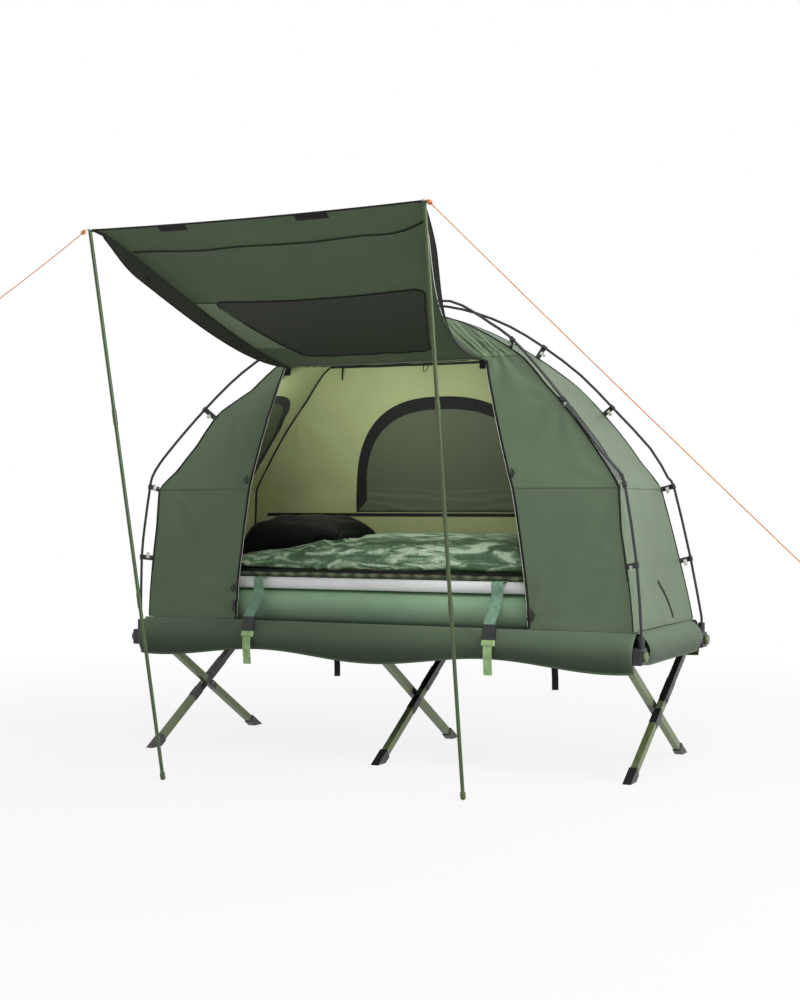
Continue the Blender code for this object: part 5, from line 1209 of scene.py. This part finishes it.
class TENT_OT_bedding(bpy.types.Operator):
    """Build the air mattress, the quilted sleeping bag and the pillow"""
    bl_idname = "tent.bedding"
    bl_label = "Bedding"

    def execute(self, context):
        self.make_mattress()
        self.make_bag(context.scene.tent_bedding.crush)
        self.make_pillow()
        return {"FINISHED"}

    def make_mattress(self):
        low, high = 0.4191, 0.5841
        rings = []
        for share in spread(0.0, 1.0, 17):
            inset = 0.066 * (1 - math.sqrt(max(0.0, 1 - (2 * share - 1) ** 2)))
            rings.append((0.860 - inset, 0.325 - inset, low + (high - low) * share, 0.060))
        top_form = ((0.0, 0.02), (0.012, 0.10), (0.016, 0.3), (0.016, 0.7), (0.010, 0.93), (0.0, 1.0))
        for swell, share in top_form:
            rings.append((0.822 + swell, 0.287 + swell, high + share * 0.040, 0.050))
        body = ring_body("mattress_body", rings, "chamber top_layer", [0] * 17 + [1] * 6)
        settle(body, "air_mattress")

    def make_bag(self, crush):
        """A lower layer that shows its lining, the zip round it, and the puffed upper layer."""
        low, zip_z = 0.6244, 0.6500
        insets = [(0.006 * (2 * share - 1) ** 2, share) for share in spread(0.0, 1.0, 6)]
        rings = [(0.652 - inset, 0.283 - inset, low + (zip_z - low) * share, 0.060)
                 for inset, share in insets]
        settle(ring_body("bag_lining_layer", rings, "lining", [0] * 6, 160, BAG_X))
        upper = settle(self.puffed_layer(zip_z, crush), "sleeping_bag")
        path = []
        for turn in spread(0.0, 2 * math.pi, 161)[:-1]:
            a, b = rounded(turn, 0.24)
            x, y = 0.6525 * a, 0.2835 * b
            path.append(Vector((x + BAG_X, y, 0.6480 + 0.0012 * noise.noise(Vector((x * 9, y * 9, 2.0))))))
        settle(tube_piece("bag_zip", path, 0.0042, "binding", closed=True))

    def puffed_layer(self, low, crush):
        """Full behind and to the right, pressed down under the pillow and low in front of it."""
        pillow_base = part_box("pillow")[0].z
        rows = []
        for v in spread(-1.0, 1.0, 100):
            row = []
            for u in spread(-1.0, 1.0, 230):
                x = BAG_X + 0.650 * u * (1 - 0.02 * (1 - v * v) * u ** 6)
                y = 0.280 * v * (1 - 0.02 * (1 - u * u) * v ** 6)
                right = unit((x + 0.50) / 0.30)
                top = 0.716 + 0.044 * right * right * (3 - 2 * right)
                top -= 0.020 * (1 - unit((y + 0.28) / 0.30)) ** 2
                spot = Vector((x * 3.2 + y * 1.1, y * 7.5 - x * 0.9, 0.3))
                folds = noise.noise(spot * 1.5) + 0.7 * abs(noise.noise(spot * 3.6))
                folds += 0.3 * noise.noise(spot * 9.0)
                edge = math.sqrt(max(0.0, 1 - abs(u) ** 7) * max(0.0, 1 - abs(v) ** 5))
                z = low + (top - low) * (0.10 + 0.90 * edge) + crush * folds * edge
                if under_pillow(x, y):
                    z = min(z, pillow_base + pillow_seat(x, y) - 0.002)
                row.append(Vector((x, y, z)))
            rows.append(row)
        layer = closed_pad("quilted_bag", rows, (BAG_X, 0.0), low, "bag")
        wrinkle_skin(layer, 0.0085, 0.014, low, math.inf)
        self.press_under_pillow(layer, pillow_base)
        return layer

    def press_under_pillow(self, layer, pillow_base):
        """Lay the bag flat where the pillow rests, and crinkle the cloth that the zip gathers."""
        for vertex in layer.data.vertices:
            spot = vertex.co
            x, y = spot.x, spot.y - MIDDLE_Y
            if under_pillow(x, y):
                spot.z = min(spot.z, pillow_base + pillow_seat(x, y) - 0.0006)
            rim = max(abs(x - BAG_X) - 0.560, abs(y) - 0.215, 0.0) / 0.070
            if spot.z > 0.655 and rim > 0:
                run = x if abs(y) > abs(x) * 0.43 else y
                rise = 0.0026 * min(rim, 1.0) * noise.noise(Vector((run * 75, spot.z * 14, 5.0)))
                spot.z += rise
                spot.y += rise * (1 if y > 0 else -1)
        soften(layer, 80)

    def make_pillow(self):
        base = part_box("pillow")[0].z
        length, width, height = PILLOW_SIZE
        rows = []
        for v in spread(-1.0, 1.0, 54):
            row = []
            for u in spread(-1.0, 1.0, 70):
                edge = math.sqrt(max(0.0, 1 - abs(u) ** 5) * max(0.0, 1 - abs(v) ** 4))
                x = PILLOW_X + u * length / 2 * (1 - 0.10 * (1 - v * v) * u ** 6)
                y = PILLOW_Y + v * width / 2 * (1 - 0.10 * (1 - u * u) * v ** 6)
                ripple = 0.005 * noise.noise(Vector((u * 3, v * 2, 0.7)))
                ripple += 0.005 * math.sin(7 * u + 2 * v) * math.cos(4 * v)
                z = base + height * (0.22 + 0.78 * edge) + ripple * edge
                row.append(Vector((x, y, z)))
            rows.append(row)
        pillow = closed_pad("bed_pillow", rows, (PILLOW_X, PILLOW_Y), base, "pillow")
        wrinkle_skin(pillow, 0.0060, 0.010, base, 0.8500)
        for vertex in pillow.data.vertices:
            lift = 1 - unit((vertex.co.z - base) / height)
            vertex.co.z += pillow_seat(vertex.co.x, vertex.co.y - MIDDLE_Y) * lift
        settle(pillow, "pillow")


# Straps
def smooth_path(knots, steps=6):
    """A soft curve through knots."""
    path = []
    for p0, p1, p2, p3 in zip(knots[:1] + knots, knots, knots[1:], knots[2:] + knots[-1:]):
        for t in spread(0.0, 1.0, steps + 1)[:-1]:
            path.append(0.5 * (2 * p1 + (p2 - p0) * t + (2 * p0 - 5 * p1 + 4 * p2 - p3) * t * t
                               + (3 * p1 - p0 - 3 * p2 + p3) * t ** 3))
    return path + [knots[-1]]


class TENT_OT_straps(bpy.types.Operator):
    """Build the two webbing straps over the mattress"""
    bl_idname = "tent.straps"
    bl_label = "Straps"

    def execute(self, context):
        top = Vector((0, -0.398, 0.490))
        along = Vector((0, -0.2484, -0.9687))
        knots = [Vector((0, y, z)) for y, z in ((-0.2803, 0.6251), (-0.305, 0.6251), (-0.325, 0.6241),
                                                (-0.335, 0.6161), (-0.337, 0.564))]
        knots += [top - along * 0.0103, top - along * 0.0003]
        for side, x in (("left", -0.460), ("right", 0.445)):
            path = [p + Vector((x, 0, 0)) for p in smooth_path(knots)]
            outs = [Vector((0, run.z, -run.y)) for run in runs_of(path)]
            settle(tape_piece(f"strap_{side}_webbing", path, outs, 0.040, 0.0014, "webbing"),
                   f"strap_{side}")
        return {"FINISHED"}


# Cords
class TENT_OT_cords(bpy.types.Operator):
    """Build the two taut guy lines with their knots"""
    bl_idname = "tent.cords"
    bl_label = "Guy lines"

    def execute(self, context):
        self.make_line("left", -1, Vector((-0.880, -1.318, 1.470)), Vector((-0.465, -0.924, 0.0)))
        self.make_line("right", 1, Vector((1.720, -1.320, 0.664)), Vector((0.540, -0.834, 0.0)))
        return {"FINISHED"}

    def make_line(self, name, side, end, foot):
        centre = eyelet_centre(side)
        upright = (centre - foot).normalized()
        away = (end - centre).normalized()
        lean = away.dot(upright)
        start = centre + (away - upright * lean).normalized() * (0.0113 + 0.0015 * abs(lean))
        path = [start.lerp(end, t) - Vector((0, 0, 0.016 * t * (1 - t))) for t in spread(0.0, 1.0, 40)]
        cord = tube_piece(f"guy_cord_{name}", path, 0.0015, "guy_line", 12)
        line = settle(cord, f"guy_line_{name}", "awning")
        knots = [self.make_knot(f"guy_knot_{name}", start, away),
                 self.make_knot(f"guy_end_{name}", end, away)]

    def make_knot(self, name, spot, away):
        """A few turns of the cord round itself."""
        side = away.orthogonal().normalized()
        path = []
        for t in spread(0.0, 1.0, 61):
            turn = 2 * math.pi * 3.2 * t
            wide = 0.0034 + 0.0022 * math.sin(math.pi * t)
            path.append(spot + away * (0.002 + 0.015 * t) + side * wide * math.cos(turn)
                        + away.cross(side) * wide * math.sin(turn))
        return settle(tube_piece(name, path, 0.0020, "knot"), body="awning")


# Finishes of the frame
NODE_FINISHES = (("rail", "tube"), ("end_bar", "tube"), ("foot_of", "plastic"), ("corner_bracket", "plastic"),
                 ("mid_bracket", "plastic"), ("buckle_shell", "plastic"), ("zip_slider", "plastic"),
                 ("front_hung_leg", "front_hung"), ("rear_hung_leg", "rear_hung"), ("dome_pole", "dark_tube"),
                 ("awning_pole", "awning_tube"), ("buckle_tongue", "tail"))


class TENT_OT_finishes(bpy.types.Operator):
    """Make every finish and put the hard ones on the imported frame"""
    bl_idname = "tent.finishes"
    bl_label = "Finishes"

    def execute(self, context):
        scene = context.scene
        canopy, awning = scene.tent_canopy, scene.tent_awning
        bedding, strap = scene.tent_bedding, scene.tent_strap
        outside, skirt, guy_line = canopy.outside, scene.tent_skirt.cloth, strap.guy_line
        skirt_cloth = cloth_finish("skirt_cloth", skirt, 0.6)
        chamber = cloth_finish("mattress_chamber", bedding.chamber, 0.35, 0.1)
        FINISHES.update({
            "canopy": cloth_finish("canopy_cloth_outside", outside, 0.50, 0.10),
            # painted highlight: the gathered patch is the outside cloth made 1.25 times paler, standing in
            # for light on its folds
            "gathered": cloth_finish("gathered_roof", shade(outside, 1.25), 0.34, 0.1),
            # painted light: the inside colour is paler to stand in for light through the cloth; a lamp under
            # the roof adds more
            "canopy_inside": cloth_finish("canopy_cloth_inside", canopy.inside, 0.60, 0.10),
            "seam": cloth_finish("crease_seam", shade(outside, 0.8), 0.6),
            "awning_under": cloth_finish("awning_underside", awning.underside, 0.6),
            "side_band": cloth_finish("awning_side_band", awning.side_band, 0.7, 0.06),
            "side_strip": cloth_finish("awning_side_strip", linear(122, 138, 108), 0.5, 0.1),
            "pale_strip": cloth_finish("awning_hinge_strip", linear(120, 130, 95), 0.6, 0.3),
            # painted shade: the skirt's colour is darkened towards the hem, down to 0.30 at the bottom
            "skirt": painted_shade_by_height(skirt_cloth, 0.345, 0.475, [(0.0, 0.30), (0.40, 0.50), (1.0, 1.0)]),
            "skirt_hem": cloth_finish("skirt_hem", shade(skirt, 0.72), 0.7),
            "deck": cloth_finish("deck_cloth", linear(44, 52, 42), 0.8, 0.2, 0.0022),
            # painted shade and highlight: the air chamber is darkened to 0.13 low down and brightened to 1.08
            # at the top
            "chamber": painted_shade_by_height(chamber, 0.430, 0.575, [(0.12, 0.13), (0.55, 0.62), (0.85, 1.08)]),
            "top_layer": cloth_finish("mattress_top", bedding.top_layer, 0.85, 0.5),
            "pillow": cloth_finish("pillow_cloth", bedding.pillow, 0.62, 0.04),
            "bag": satin_pattern("bag_cloth"),
            "lining": lining_pattern("bag_lining"),
            "binding": webbing_finish("dark_binding", canopy.binding, 0.7),
            "pale_binding": webbing_finish("pale_binding", linear(110, 128, 104), 0.7),
            "webbing": webbing_finish("strap_webbing", strap.webbing),
            "tail": webbing_finish("strap_tail", strap.tail),
            "guy_line": webbing_finish("guy_line", guy_line, 0.6),
            "knot": webbing_finish("guy_knot", shade(guy_line, 1.05), 0.6),
            "net": net_finish("window_net", (42, 48, 34), (70, 78, 53)),
            "pane": net_finish("awning_net", (28, 33, 24), (50, 57, 42)),
            "vent_net": net_finish("vent_net", (60, 63, 58), (92, 96, 90)),
            "plastic": moulded_plastic("moulded_black", linear(24, 27, 25)),
            "zip_teeth": coated_metal("zip_teeth", linear(150, 156, 140), 0.35, 0.6),
            "pale_metal": coated_metal("pale_link", linear(196, 200, 186), 0.35, 0.2),
            "metal": coated_metal("nickel", linear(180, 180, 172), 0.25, 0.95),
            "tube": coated_metal("olive_tube", linear(96, 112, 72)),
            "awning_tube": coated_metal("awning_tube", linear(76, 92, 60)),
            "dark_tube": coated_metal("dark_tube", linear(46, 48, 50), 0.36, 0.3),
            "front_hung": sleeved_leg("front_hung_leg", FRONT_HUNG, [(-0.040, 0.034)]),
            # the rear leg is drawn dark from 2 to 30 cm above the bolt and from 2 to 10 cm below it
            "rear_hung": sleeved_leg("rear_hung_leg", REAR_HUNG, [(-0.300, -0.020), (0.020, 0.097)])})
        for name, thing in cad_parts.items():
            chosen = [key for word, key in NODE_FINISHES if word in name][:1]
            if chosen:
                thing.data.materials.clear()
                thing.data.materials.append(FINISHES[chosen[0]])
        return {"FINISHED"}


# Stage
def seen_directly(tree):
    """1 for rays from the camera, from a mirror or through glass."""
    camera, glossy, clear = (node(tree, "LightPath", {}, f"Is {kind} Ray")
                             for kind in ("Camera", "Glossy", "Transmission"))
    return maths(tree, "MAXIMUM", maths(tree, "MAXIMUM", camera, glossy), clear)


class TENT_OT_stage(bpy.types.Operator):
    """Make the floor, the soft lights, the white background and the camera"""
    bl_idname = "tent.stage"
    bl_label = "Stage"

    def execute(self, context):
        scene = context.scene
        settings = scene.tent_stage
        floor = added(bpy.ops.mesh.primitive_plane_add, size=60.0, location=(0, 0, 0))
        floor.name = "floor"
        floor.data.materials.append(self.floor_finish(settings.floor))
        self.make_light("right", (5.2, -0.9, 2.2), (0, 0.2, 0.7), (2.6, 2.6), settings.key * 0.70)
        self.make_light("above", (1.8, -1.7, 5.2), (0, 0.2, 0.7), (3.0, 3.0), settings.key * 0.55)
        self.make_light("inside", (-0.14, 0.25, 1.14), (-0.14, 1.2, 0.92), (0.90, 0.40), settings.inner)
        self.make_world(scene, settings.fill)
        self.make_camera(scene)
        scene.view_settings.view_transform = "Standard"
        return {"FINISHED"}

    def floor_finish(self, colour):
        """Pale paint that turns to plain white away from the object, so that no horizon shows."""
        made, tree, shader = finish_base("floor", colour, 0.9)
        wire(shader, {"Specular IOR Level": 0.2})
        away = node(tree, "TexGradient", {"Vector": place(tree, (0.12, 0.12, 0.12))}, "Fac",
                    gradient_type="SPHERICAL")
        share = ramp(tree, away, [(0.48, (1.0, 1.0, 1.0)), (0.80, (0.86, 0.86, 0.86))])
        mix = node(tree, "MixShader", {0: maths(tree, "MULTIPLY", share, seen_directly(tree)),
                                       1: shader.outputs["BSDF"], 2: node(tree, "Emission", {})})
        wire(tree.nodes["Material Output"], {"Surface": mix})
        return made

    def make_light(self, name, spot, target, size, power):
        data = bpy.data.lights.new(name, "AREA")
        data.energy = power
        data.shape = "RECTANGLE"
        data.size, data.size_y = size
        lamp = bpy.data.objects.new(name, data)
        lamp.visible_camera = False
        lamp.location = spot
        lamp.rotation_euler = (Vector(target) - Vector(spot)).to_track_quat("-Z", "Y").to_euler()
        bpy.context.scene.collection.objects.link(lamp)

    def make_world(self, scene, strength):
        world = bpy.data.worlds.new("room")
        scene.world = world
        world.use_nodes = True
        tree = world.node_tree
        tree.nodes.clear()
        room = node(tree, "Background", {"Color": (0.95, 0.97, 1.0, 1.0), "Strength": strength})
        white = node(tree, "Background", {"Color": (1, 1, 1, 1), "Strength": 1.0})
        mix = node(tree, "MixShader", {0: seen_directly(tree), 1: room, 2: white})
        wire(tree.nodes.new("ShaderNodeOutputWorld"), {"Surface": mix})

    def make_camera(self, scene):
        data = bpy.data.cameras.new("camera")
        camera = bpy.data.objects.new("camera", data)
        scene.collection.objects.link(camera)
        camera.location = (2.473, -4.9215, 0.8808)
        camera.rotation_euler = (math.radians(90.156), 0.0, math.radians(25.605))
        data.sensor_fit = "HORIZONTAL"
        data.sensor_width = 36.0
        data.lens = 73.43
        scene.camera = camera


class TENT_PT_panel(bpy.types.Panel):
    """The settings and the operators, in the sidebar"""
    bl_label = "Tent cot"
    bl_idname = "TENT_PT_panel"
    bl_space_type = "VIEW_3D"
    bl_region_type = "UI"
    bl_category = "Tent cot"

    def draw(self, context):
        for name, owner in SETTINGS.items():
            box = self.layout.box()
            box.label(text=owner.__name__.replace("Settings", ""))
            for key in owner.__annotations__:
                box.prop(getattr(context.scene, name), key)
        for operator in OPERATORS:
            self.layout.operator(operator.bl_idname)


SETTINGS = {"tent_canopy": CanopySettings, "tent_awning": AwningSettings, "tent_skirt": SkirtSettings,
            "tent_bedding": BeddingSettings, "tent_strap": StrapSettings, "tent_stage": StageSettings}
OPERATORS = (TENT_OT_finishes, TENT_OT_canopy, TENT_OT_zips, TENT_OT_skirts, TENT_OT_awning,
             TENT_OT_bedding, TENT_OT_straps, TENT_OT_cords, TENT_OT_stage)


def register():
    for owner in (*SETTINGS.values(), *OPERATORS, TENT_PT_panel):
        bpy.utils.register_class(owner)
    for name, owner in SETTINGS.items():
        setattr(bpy.types.Scene, name, PointerProperty(type=owner))


def unregister():
    for name in SETTINGS:
        delattr(bpy.types.Scene, name)
    for owner in (TENT_PT_panel, *OPERATORS[::-1], *SETTINGS.values()):
        bpy.utils.unregister_class(owner)


def main():
    register()
    bpy.ops.tent.finishes()
    bpy.ops.tent.canopy()
    bpy.ops.tent.zips()
    bpy.ops.tent.skirts()
    bpy.ops.tent.awning()
    bpy.ops.tent.bedding()
    bpy.ops.tent.straps()
    bpy.ops.tent.cords()
    bpy.ops.tent.stage()


if __name__ == "__main__":
    main()
